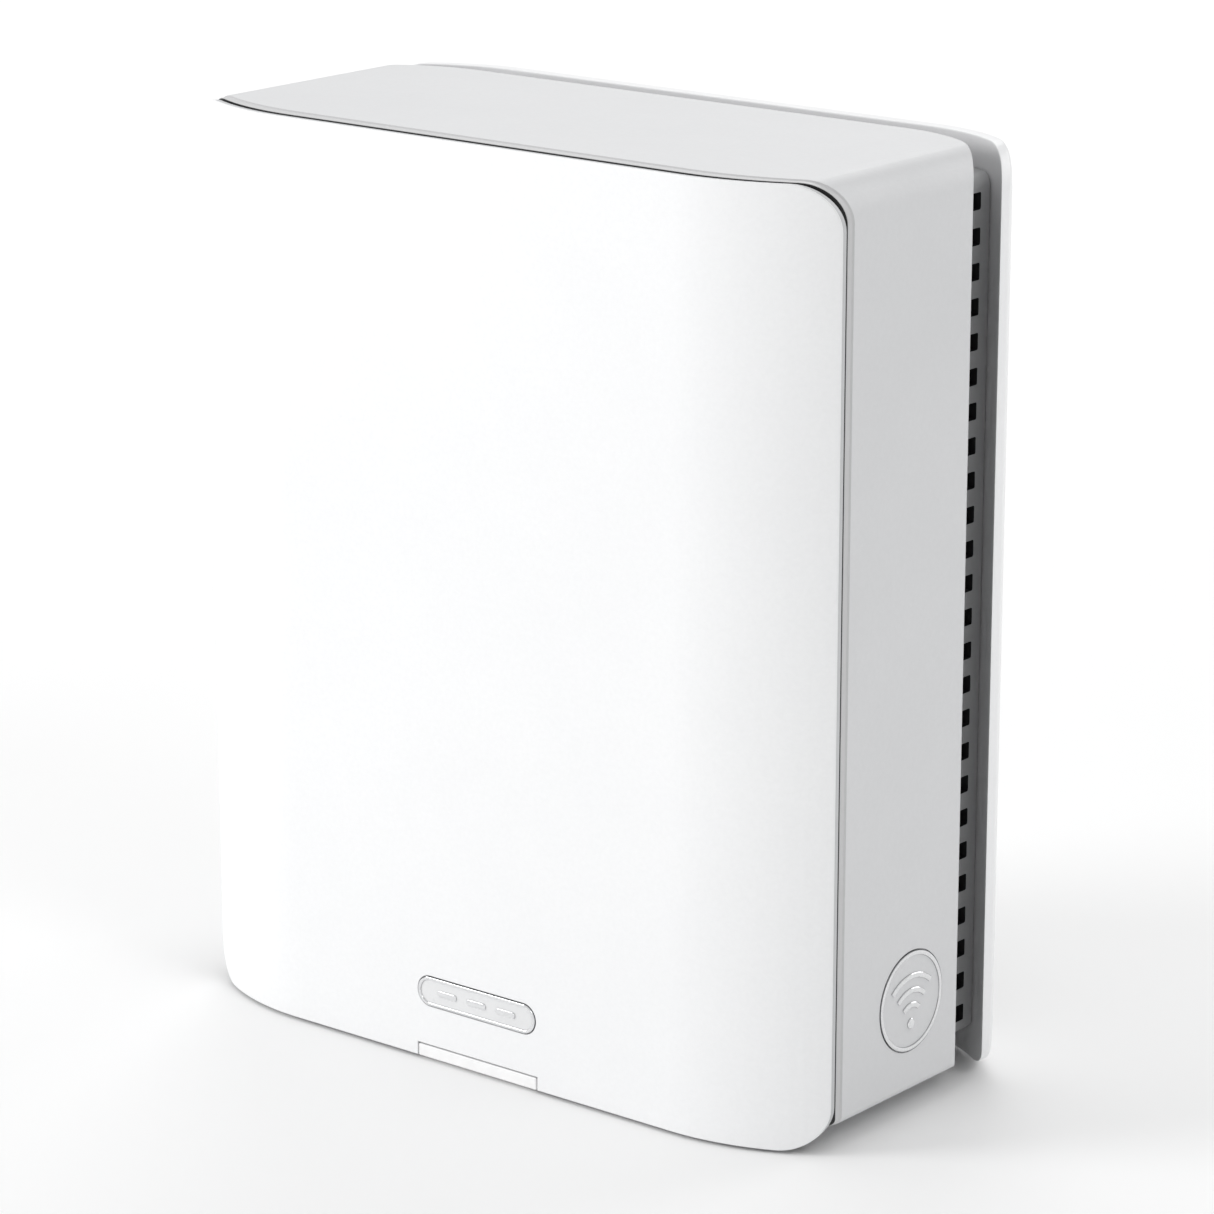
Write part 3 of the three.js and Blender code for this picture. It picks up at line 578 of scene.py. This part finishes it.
def front_badge(mats):
    """A pill-shaped plate with a raised rounded border and three raised dashes."""
    lo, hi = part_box("front_badge")
    edge = 0.0002
    field = lo.y + 0.0003
    shape = [(0.0, hi.y), (0.0, lo.y + edge), (0.35 * edge, lo.y + 0.3 * edge), (edge, lo.y),
             (0.0006, lo.y), (0.00072, lo.y + 0.3 * edge), (0.0008, lo.y + edge), (0.0008, field)]
    bodies = [loft([in_y(pill(hi.x, lo.z, hi.z, inset), y) for inset, y in shape])]
    middle = (lo.z + hi.z) / 2
    for x in (-0.009, 0.0, 0.009):
        dash = [(0.0, field + 0.0001), (0.0, lo.y + edge), (0.35 * edge, lo.y + 0.3 * edge), (edge, lo.y)]
        bodies.append(loft([in_y(pill(0.003, middle - 0.0008, middle + 0.0008, i, x), y) for i, y in dash]))
    badge = joined("front_badge_plate", bodies)
    smooth(badge)
    dress(badge, mats["chrome"], "silver_trim", "root", "front_badge")
    # painted shade: every face below the raised tops takes the darker chrome, giving the border and dashes dark
    # side walls; the field is repainted next
    paint(badge, mats["trim"], lambda v: v.y > lo.y + 0.5 * edge)
    paint(badge, mats["field"], lambda v: abs(v.y - field) < 0.00002)
    return badge


# ---------------------------------------------------------------- body


def shell_skin(mats):
    """The sleeve: a lip stands round its front edge, a little darker and set back from the front panel. The
    lip's darker grey is painted shade from the panel's overhang, and its inner end is painted black as shadow.
    """
    lo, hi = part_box("body_shell")
    front, back = lo.y, hi.y
    lip = [(0.0004, LIP_START), (0.0003, LIP_START + 0.0001), (0.0003, LIP_END - 0.0003),
           (0.00008, LIP_END - 0.0001), (0.0, LIP_END)]
    section = [(SHELL_WALL, front + 0.0012), (0.0023, front + LIP_START)]
    section += [(inset, front + deep) for inset, deep in lip]
    section += [(0.0, back - 0.0004), (0.00012, back - 0.00012), (0.0004, back), (SHELL_WALL, back)]
    rings = [in_y(outline(lo.x, hi.x, lo.z, hi.z, SHELL_CORNER, SHELL_FOOT_CORNER, i), y) for i, y in section]
    bm = loft(rings, ring=True)
    slice_x(bm, FRONT_BOW, hi.x)
    bend(bm, front, back, FRONT_BOW, BACK_BOW)
    shell = made("shell_skin", bm)
    badge_lo, badge_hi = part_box("side_badge")
    floor_top = lo.z + SHELL_WALL + 0.001
    cut_guide = block(-0.016, 0.016, -0.06, front + 0.0034, 0.0, floor_top)
    cut_intake = block(-0.058, 0.058, -0.018, 0.012, 0.0, floor_top)
    y, z = (badge_lo.y + badge_hi.y) / 2, (badge_lo.z + badge_hi.z) / 2
    radius = (badge_hi.z - badge_lo.z) / 2 + GAP
    pocket = turned_x(y, z, [(radius, badge_lo.x - GAP), (radius, hi.x + 0.001)])
    carve(shell, [cut_guide, cut_intake, pocket])
    smooth(shell, 26)
    dress(shell, mats["shell"], "shell_grey", "root", "body_shell")

    def depth(v):
        fall, rise = setback(v.x, FRONT_BOW), setback(v.x, BACK_BOW)
        return (v.y - front - fall) / (1 - (fall + rise) / (back - front))

    # painted shade: the lip faces take the darker grey for the shade under the front panel
    paint(shell, mats["lip"], lambda v: depth(v) < LIP_END + 0.00002)
    # painted shadow: the inner end of the lip is black inside the gap behind the front panel
    paint(shell, mats["shadow"], lambda v: depth(v) < LIP_START + 0.00002)
    return shell


def side_badge(mats):
    """A round plate with a raised rim and three raised arcs over a dot."""
    lo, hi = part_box("side_badge")
    y, z = (lo.y + hi.y) / 2, (lo.z + hi.z) / 2
    radius = (hi.z - lo.z) / 2
    field = hi.x - 0.0003
    profile = [(radius, lo.x), (radius, hi.x - 0.00025), (radius - 0.00006, hi.x - 0.0001),
               (radius - 0.00025, hi.x), (radius - 0.0008, hi.x), (radius - 0.001, hi.x - 0.0001),
               (radius - 0.00108, field)]
    bodies = [turned_x(y, z, profile, 96)]
    foot = z - 0.0055
    dot = [(0.0013, field - 0.0002), (0.0013, hi.x - 0.00015), (0.0011, hi.x)]
    bodies.append(turned_x(y, foot, dot, 32))
    for reach in (0.0045, 0.008, 0.0115):
        steps = 28
        points = []
        for i in range(steps + 1):
            angle = math.radians(90 - 40 + 80 * i / steps)
            points.append((y + reach * math.cos(angle), foot + reach * math.sin(angle)))
        bodies.append(ridge_x(points, 0.00065, field - 0.0002, hi.x))
    badge = joined("side_badge_disc", bodies)
    smooth(badge)
    dress(badge, mats["chrome"], "silver_trim", "root", "side_badge")
    # painted shade: every face below the raised tops takes the darker chrome, giving the rim, arcs and dot dark
    # side walls; the field is repainted next
    paint(badge, mats["trim"], lambda v: v.x < hi.x - 0.00007)
    paint(badge, mats["shell"], lambda v: abs(v.x - field) < 0.00002)
    return badge


def ridge_x(points, half_width, x_low, x_high):
    """A raised band on a face square to X, along points of y and z, with softened edges."""
    sections = []
    for i, (y, z) in enumerate(points):
        ahead = points[min(i + 1, len(points) - 1)]
        behind = points[max(i - 1, 0)]
        along = Vector((ahead[0] - behind[0], ahead[1] - behind[1])).normalized()
        side = Vector((-along.y, along.x))
        drop = (x_high - x_low) * 0.25
        profile = [(-1.0, x_low), (-1.0, x_high - drop), (-0.75, x_high)]
        profile += [(0.75, x_high), (1.0, x_high - drop), (1.0, x_low)]
        sections.append([(x, y + side.x * s * half_width, z + side.y * s * half_width) for s, x in profile])
    return loft(sections)


# ---------------------------------------------------------------- back


def vent_skin(mats):
    """The recessed neck: an open-fronted box behind the shell, with slots down each side and across the top."""
    lo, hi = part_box("vent_frame")
    section = [(NECK_WALL, hi.y - NECK_WALL), (NECK_WALL, lo.y), (0.0, lo.y), (0.0, hi.y)]
    rings = [in_y(outline(lo.x, hi.x, lo.z, hi.z, NECK_CORNER, 0.0015, i), y) for i, y in section]
    bm = loft(rings)
    slice_x(bm, PANEL_BOW, hi.x)
    bend(bm, lo.y, hi.y, None, PANEL_BOW)
    neck = made("neck_skin", bm)
    carve(neck, vent_cutters(hi) + [bay_cutter(0.0019, 0.02, 0.07)])
    smooth(neck)
    # painted shadow: the neck is black all over and only its outer faces get the vent grey, so its inside and
    # slot walls stay black as shade
    dress(neck, mats["shadow"], "vent_grey", "root", "vent_frame")

    def outside(v):
        return min(hi.x - abs(v.x), hi.z - v.z, v.z - lo.z) < 0.6 * NECK_WALL

    paint(neck, mats["vent"], outside)
    return neck


def vent_cutters(hi):
    """The slots, each with small rounded corners."""
    reach = 0.005
    cutters = []
    for side in (-1, 1):
        for row in range(VENT_ROWS):
            z = VENT_FIRST + row * VENT_PITCH
            slot = outline(VENT_FROM, VENT_TO, z - VENT_HALF, z + VENT_HALF, 0.0004, 0.0004, 0.0, None, 3)
            x = side * hi.x
            cutters.append(loft([in_x(slot, x - reach), in_x(slot, x + reach)]))
    y0, y1 = VENT_FROM + TOP_VENT_SHIFT, VENT_TO + TOP_VENT_SHIFT
    for column in range(TOP_VENTS):
        x = (column - (TOP_VENTS - 1) / 2) * VENT_PITCH
        slot = outline(x - VENT_HALF, x + VENT_HALF, y0, y1, 0.0004, 0.0004, 0.0, None, 3)
        cutters.append(loft([in_z(slot, hi.z - reach), in_z(slot, hi.z + reach)]))
    return cutters


def bay_cutter(grow, y0, y1):
    """The port recess's outline, grown a little, from y0 to y1."""
    opening = outline(-0.066 - grow, 0.066 + grow, 0.014 - grow, 0.046 + grow, 0.004 + grow, 0.004 + grow)
    return loft([in_y(opening, y0), in_y(opening, y1)])


def back_panel(mats):
    lo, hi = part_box("back_panel")
    front = hi.y - PANEL_THICK
    back = hi.y
    bm = loft(panel_sections(lo, hi, PANEL_CORNER, front, back, None, 0.0, 0.0004, 0.0016))
    slice_x(bm, PANEL_BOW, hi.x)
    bow_whole(bm, PANEL_BOW, -1)
    panel = made("back_panel_skin", bm)
    flare = [(0.0, front - 0.01), (0.0, back - 0.0012), (0.00012, back - 0.0006), (0.0004, back - 0.0002),
             (0.0009, back), (0.0012, back + 0.001)]
    sections = [in_y(outline(-0.066, 0.066, 0.014, 0.046, 0.004, 0.004, -grow), y) for grow, y in flare]
    cutter = loft(sections)
    slice_x(cutter, PANEL_BOW, 0.0672)
    bow_whole(cutter, PANEL_BOW, -1)
    carve(panel, [cutter])
    smooth(panel)
    dress(panel, mats["panel"], "white_panel", "root", "back_panel")
    # painted shade: the back panel's inner face is greyed for the shade in the gap behind the body
    paint(panel, mats["inner"], lambda v: v.y + setback(v.x, PANEL_BOW) < front + 0.0001)
    return panel


def bay_skin(mats):
    """The tray that the ports sit in, with a rounded foot to its walls."""
    lo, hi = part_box("port_bay")
    wall = 0.0016
    floor = lo.y + wall
    section = [(0.0, lo.y), (0.0, hi.y), (wall * 0.6, hi.y), (wall, hi.y - 0.0004), (wall, floor + 0.0008),
               (wall + 0.0002, floor + 0.00025), (wall + 0.0008, floor)]
    rings = [in_y(outline(lo.x, hi.x, lo.z, hi.z, 0.0056, 0.0056, i), y) for i, y in section]
    bay = made("port_bay_skin", loft(rings))
    y0, y1 = lo.y - 0.001, floor + 0.001
    cutters = []
    for name in JACKS + ("usb_port", "dc_jack", "power_switch_housing"):
        a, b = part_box(name)
        cutters.append(block(a.x - GAP, b.x + GAP, y0, y1, a.z - GAP, b.z + GAP))
    for name, radius in (("pair_button", 0.0039), ("reset_button", 0.0012)):
        a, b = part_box(name)
        cutters.append(turned_y((a.x + b.x) / 2, PORT_Z, [(radius, y0), (radius, y1)]))
    carve(bay, cutters)
    smooth(bay)
    return dress(bay, mats["dark"], "dark_plastic", "root", "port_bay")


# ---------------------------------------------------------------- ports and keys


def network_jack(mats, name):
    """A socket housing with a stepped latch notch, and its eight sprung contacts."""
    lo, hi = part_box(name)
    x = (lo.x + hi.x) / 2
    low = PORT_Z - 0.00415 + 0.0009
    housing = made(f"{name}_housing", block(lo.x, hi.x, lo.y, hi.y, lo.z, hi.z, 0.0003))
    mouth = block(x - 0.00595, x + 0.00595, hi.y - 0.013, hi.y + 0.001, low, low + 0.0083)
    notch = block(x - 0.0032, x + 0.0032, hi.y - 0.009, hi.y + 0.001, low - 0.0026, low + 0.001)
    step = block(x - 0.0042, x + 0.0042, hi.y - 0.0011, hi.y + 0.001, low - 0.0014, low + 0.001)
    flare = loft([in_y(outline(x - 0.00595 - g, x + 0.00595 + g, low - g, low + 0.0083 + g,
                               0.0003, 0.0003), y)
                  for g, y in ((-0.0001, hi.y - 0.0009), (0.0005, hi.y - 0.00005), (0.0006, hi.y + 0.001))])
    carve(housing, [mouth])
    carve(housing, [notch])
    carve(housing, [step])
    carve(housing, [flare])
    smooth(housing)
    dress(housing, mats["jack"], "dark_plastic", "root", name)
    wires = []
    for i in range(8):
        wx = x + (i - 3.5) * 0.00102
        path = [(wx, hi.y - 0.0125, low + 0.0052), (wx, hi.y - 0.0105, low + 0.0048),
                (wx, hi.y - 0.0042, low + 0.0071), (wx, hi.y - 0.0032, low + 0.0076),
                (wx, hi.y - 0.0022, low + 0.0079)]
        wires.append(wire(path, 0.00017))
    contacts = joined(f"{name}_contacts", wires)
    smooth(contacts, 60)
    dress(contacts, mats["gold"], "steel", "root")


def usb_port(mats):
    """A folded steel shell with a plastic tongue and four flat contacts."""
    lo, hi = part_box("usb_port")
    x = (lo.x + hi.x) / 2
    shell = made("usb_shell", block(lo.x, hi.x, lo.y, hi.y, lo.z, hi.z, 0.0006))
    mouth = block(x - 0.0063, x + 0.0063, hi.y - 0.012, hi.y + 0.001, PORT_Z - 0.0026, PORT_Z + 0.0026)
    carve(shell, [mouth])
    springs = []
    for sx in (-0.0035, 0.0035):
        for z0, z1 in ((PORT_Z - 0.004, PORT_Z - 0.0024), (PORT_Z + 0.0024, PORT_Z + 0.004)):
            springs.append(block(x + sx - 0.0009, x + sx + 0.0009, hi.y - 0.0065, hi.y - 0.0025, z0, z1))
    carve(shell, springs)
    smooth(shell)
    dress(shell, mats["steel"], "steel", "root", "usb_port")
    tongue = made("usb_tongue", block(x - 0.0056, x + 0.0056, hi.y - 0.0121, hi.y - 0.0015,
                                      PORT_Z + 0.0002, PORT_Z + 0.002, 0.0002))
    smooth(tongue)
    dress(tongue, mats["jack"], "dark_plastic", "root")
    strips = []
    for i in range(4):
        sx = x + (i - 1.5) * 0.0024
        strips.append(block(sx - 0.0005, sx + 0.0005, hi.y - 0.0115, hi.y - 0.0026,
                            PORT_Z + 0.00012, PORT_Z + 0.0003, 0.00005))
    contacts = joined("usb_contacts", strips)
    smooth(contacts)
    dress(contacts, mats["gold"], "steel", "root")


def power_inlet(mats):
    """A square housing round a barrel socket, with a plated centre pin."""
    lo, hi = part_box("dc_jack")
    x = (lo.x + hi.x) / 2
    housing = made("inlet_housing", block(lo.x, hi.x, lo.y, hi.y, lo.z, hi.z, 0.0005))
    barrel = [(0.0031, hi.y - 0.01), (0.0031, hi.y - 0.0006), (0.0033, hi.y - 0.0002), (0.0038, hi.y)]
    barrel += [(0.004, hi.y + 0.001)]
    carve(housing, [turned_y(x, PORT_Z, barrel, 48)])
    smooth(housing)
    dress(housing, mats["jack"], "dark_plastic", "root", "dc_jack")
    tip = hi.y - 0.0012
    profile = [(0.001, hi.y - 0.0101), (0.001, tip - 0.0006), (0.0009, tip - 0.0002), (0.0006, tip)]
    pin = made("inlet_pin", turned_y(x, PORT_Z, profile, 24))
    smooth(pin)
    dress(pin, mats["steel"], "steel", "root")


def switch_housing(mats):
    lo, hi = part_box("power_switch_housing")
    x = (lo.x + hi.x) / 2
    frame_ = made("switch_frame", block(lo.x, hi.x, lo.y, hi.y, lo.z, hi.z, 0.0004))
    carve(frame_, [block(x - 0.0043, x + 0.0043, 0.019, hi.y + 0.001, PORT_Z - 0.0066, PORT_Z + 0.0066)])
    holes = turned_x(0.0255, PORT_Z, [(0.00125, lo.x - 0.001), (0.00125, hi.x + 0.001)], 24)
    carve(frame_, [holes])
    smooth(frame_)
    return dress(frame_, mats["jack"], "dark_plastic", "root", "power_switch_housing")


def rocker_outline(scale):
    """The rocker's side view: a shallow V across the top and a round belly about its pivot."""
    reach, rise, dip = 0.0057, 0.0026, 0.0018
    belly = math.hypot(reach, rise)
    corner = math.degrees(math.atan2(rise, reach))
    points = [(dip, 0.0)]
    points += [(dip + (rise - dip) * t, reach * t) for t in (0.3, 0.65, 0.93)]
    points += arc(0, 0, belly, 90 - corner, 133, 8)
    points += arc(0, 0, belly, 227, 270 + corner, 8)
    points += [(dip + (rise - dip) * t, -reach * t) for t in (0.93, 0.65, 0.3)]
    return [(y * scale, z * scale) for y, z in points]


def rocker_cap(mats):
    tilt = math.radians(8)
    x, y = -0.058, 0.0255
    across, up = math.cos(tilt), math.sin(tilt)
    ends = ((-0.004, 0.93), (-0.0039, 0.97), (-0.0036, 1.0), (0.0036, 1.0), (0.0039, 0.97), (0.004, 0.93))
    sections = []
    for dx, scale in ends:
        turned = [(a * across - b * up, a * up + b * across) for a, b in rocker_outline(scale)]
        sections.append([(x + dx, y + a, PORT_Z + b) for a, b in turned])
    profile = [(0.0008, x - 0.0049), (0.00095, x - 0.0047), (0.00095, x + 0.0047), (0.0008, x + 0.0049)]
    pins = turned_x(y, PORT_Z, profile, 20)
    cap = joined("rocker_cap", [loft(sections), pins])
    smooth(cap)
    return dress(cap, mats["dark"], "dark_plastic", "rocker", "power_rocker")


def pair_key(mats):
    """A round key with a shallow dish in its face, on a flange and a stem."""
    lo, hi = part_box("pair_button")
    x = (lo.x + hi.x) / 2
    top = hi.y
    profile = [(0.0015, lo.y), (0.0015, 0.0238), (0.0046, 0.0238), (0.0046, 0.0257), (0.0035, 0.0257)]
    profile += [(0.0035, top - 0.0004), (0.0034, top - 0.00012), (0.0031, top)]
    profile += [(0.0028, top - 0.00003), (0.0018, top - 0.0003), (0.0007, top - 0.0004)]
    key = made("pair_key_cap", turned_y(x, PORT_Z, profile, 48))
    smooth(key)
    return dress(key, mats["vent"], "vent_grey", "pair_key", "pair_button")


def reset_pin(mats):
    lo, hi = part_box("reset_button")
    x = (lo.x + hi.x) / 2
    profile = [(0.0012, lo.y), (0.0012, 0.0234), (0.0022, 0.0234), (0.0022, 0.0245), (0.0021, 0.0246)]
    profile += [(0.0008, 0.0246), (0.0008, hi.y - 0.0003), (0.0006, hi.y - 0.00005), (0.0002, hi.y)]
    pin = made("reset_pin_cap", turned_y(x, PORT_Z, profile, 24))
    smooth(pin)
    return dress(pin, mats["dark"], "dark_plastic", "reset_pin", "reset_button")


# ---------------------------------------------------------------- base


def base_skin(mats):
    """The plate under the body: thirteen intake slots and four screw wells."""
    lo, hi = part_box("base_plate")
    edge = 0.0005
    shape = [(edge, lo.z), (0.3 * edge, lo.z + 0.3 * edge), (0.0, lo.z + edge), (0.0, hi.z)]
    rings = [in_z(outline(lo.x, hi.x, lo.y, hi.y, 0.008, 0.008, i), z) for i, z in shape]
    plate = made("base_plate_skin", loft(rings))
    cutters = []
    for i in range(INTAKE_SLOTS):
        x = (i - (INTAKE_SLOTS - 1) / 2) * INTAKE_PITCH
        slot = outline(x - INTAKE_HALF, x + INTAKE_HALF, -0.014, 0.008, INTAKE_HALF, INTAKE_HALF, 0.0, None, 6)
        cutters.append(loft([in_z(slot, 0.0), in_z(slot, 0.01)]))
    for i in range(4):
        a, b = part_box(f"base_screw_{i + 1}")
        well = [(0.003, 0.0), (0.003, lo.z + 0.0014), (0.0017, lo.z + 0.00141), (0.0017, 0.01)]
        cutters.append(turned_z((a.x + b.x) / 2, (a.y + b.y) / 2, well))
    carve(plate, cutters)
    smooth(plate)
    return dress(plate, mats["dark"], "dark_plastic", "root", "base_plate")


def foot_strip(mats, name):
    """A rubber strip with rounded edges and shallow grooves along its tread."""
    lo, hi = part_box(name)
    shape = [(0.0005, lo.z), (0.00015, lo.z + 0.00015), (0.0, lo.z + 0.0005), (0.0, hi.z)]
    rings = [in_z(outline(lo.x, hi.x, lo.y, hi.y, 0.003, 0.003, i), z) for i, z in shape]
    strip = made(f"{name}_strip", loft(rings))
    grooves = []
    for i in range(3):
        y = lo.y + (i + 1) * (hi.y - lo.y) / 4
        grooves.append(block(lo.x + 0.004, hi.x - 0.004, y - 0.0004, y + 0.0004, lo.z - 0.001, lo.z + 0.0005))
    carve(strip, grooves)
    smooth(strip)
    return dress(strip, mats["rubber"], "rubber", "root", name)


# ---------------------------------------------------------------- carried-over CAD nodes

CAD_FINISHES = {
    "front_frame": "dark",
    "light_guide": "window",
    "light_board": "board",
    "light_lead": "lead",
    "pair_switch": "jack",
    "reset_switch": "jack",
    "main_board": "board",
    "board_screw": "steel",
    "shield": "steel",
    "pad": "thermal",
    "heatsink": "aluminium",
    "antenna_lead": "lead",
    "antenna": "steel",
    "base_screw": "steel",
}


def finish_cad_nodes(mats):
    """Gives each CAD node that still shows its material, by the longest name that its own begins with."""
    for name, node in NODES.items():
        if node.hide_render:
            continue
        key = max((k for k in CAD_FINISHES if name.startswith(k)), key=len)
        if not node.data.materials:
            node.data.materials.append(None)
        for slot in node.material_slots:
            slot.link = "OBJECT"
            slot.material = mats[CAD_FINISHES[key]]


# ---------------------------------------------------------------- stage, lights and camera


def make_camera():
    data = bpy.data.cameras.new("camera")
    data.sensor_width = 36.0
    data.lens = CAMERA_LENS_MM
    data.clip_start = 0.05
    data.clip_end = 50.0
    camera = bpy.data.objects.new("camera", data)
    level = math.cos(CAMERA_ELEVATION)
    along = (math.sin(CAMERA_AZIMUTH) * level, -math.cos(CAMERA_AZIMUTH) * level)
    back = Vector((*along, math.sin(CAMERA_ELEVATION)))
    camera.location = CAMERA_TARGET + back * CAMERA_DISTANCE
    camera.rotation_euler = (-back).to_track_quat("-Z", "Y").to_euler()
    bpy.context.scene.collection.objects.link(camera)
    bpy.context.scene.camera = camera


def area_light(name, place, aim, size, watts):
    data = bpy.data.lights.new(name, "AREA")
    data.shape = "DISK"
    data.size = size
    data.energy = watts
    lamp = bpy.data.objects.new(name, data)
    lamp.location = place
    lamp.rotation_euler = (Vector(aim) - Vector(place)).to_track_quat("-Z", "Y").to_euler()
    bpy.context.scene.collection.objects.link(lamp)


def make_lights():
    aim = (0.0, 0.0, 0.10)
    area_light("key", (-1.6, -1.6, 0.85), aim, 1.1, 25.0)
    area_light("top", (0.1, 0.2, 2.2), aim, 1.8, 2.0)
    area_light("edge", (1.6, -0.3, 1.7), aim, 0.7, 4.0)
    area_light("rear", (0.6, 2.0, 1.1), aim, 1.4, 8.0)
    area_light("backdrop", (-1.5, 2.0, 1.8), (-1.1, 1.4, 0.0), 1.6, 16.0)
    world = bpy.data.worlds.new("studio")
    world.use_nodes = True
    sky = world.node_tree.nodes["Background"]
    sky.inputs["Color"].default_value = (1.0, 1.0, 1.0, 1.0)
    sky.inputs["Strength"].default_value = SKY_STRENGTH
    bpy.context.scene.world = world


def make_floor():
    bm = turned_z(0.0, 0.0, [(FLOOR_REACH, -0.02), (FLOOR_REACH, 0.0)], 64)
    floor = made("floor", bm)
    floor.data.materials.append(floor_material())


def set_look():
    view = bpy.context.scene.view_settings
    view.view_transform = "Standard"
    view.look = "None"
    view.exposure = 0.0
    view.gamma = 1.0


# ---------------------------------------------------------------- assembly


def main():
    make_camera()
    set_look()
    make_lights()
    make_floor()
    mats = make_materials()
    front_panel(mats)
    window_lens(mats)
    front_badge(mats)
    shell_skin(mats)
    side_badge(mats)
    vent_skin(mats)
    back_panel(mats)
    bay_skin(mats)
    for name in JACKS:
        network_jack(mats, name)
    usb_port(mats)
    power_inlet(mats)
    switch_housing(mats)
    rocker_cap(mats)
    pair_key(mats)
    reset_pin(mats)
    base_skin(mats)
    foot_strip(mats, "base_foot_front")
    foot_strip(mats, "base_foot_back")
    finish_cad_nodes(mats)


main()
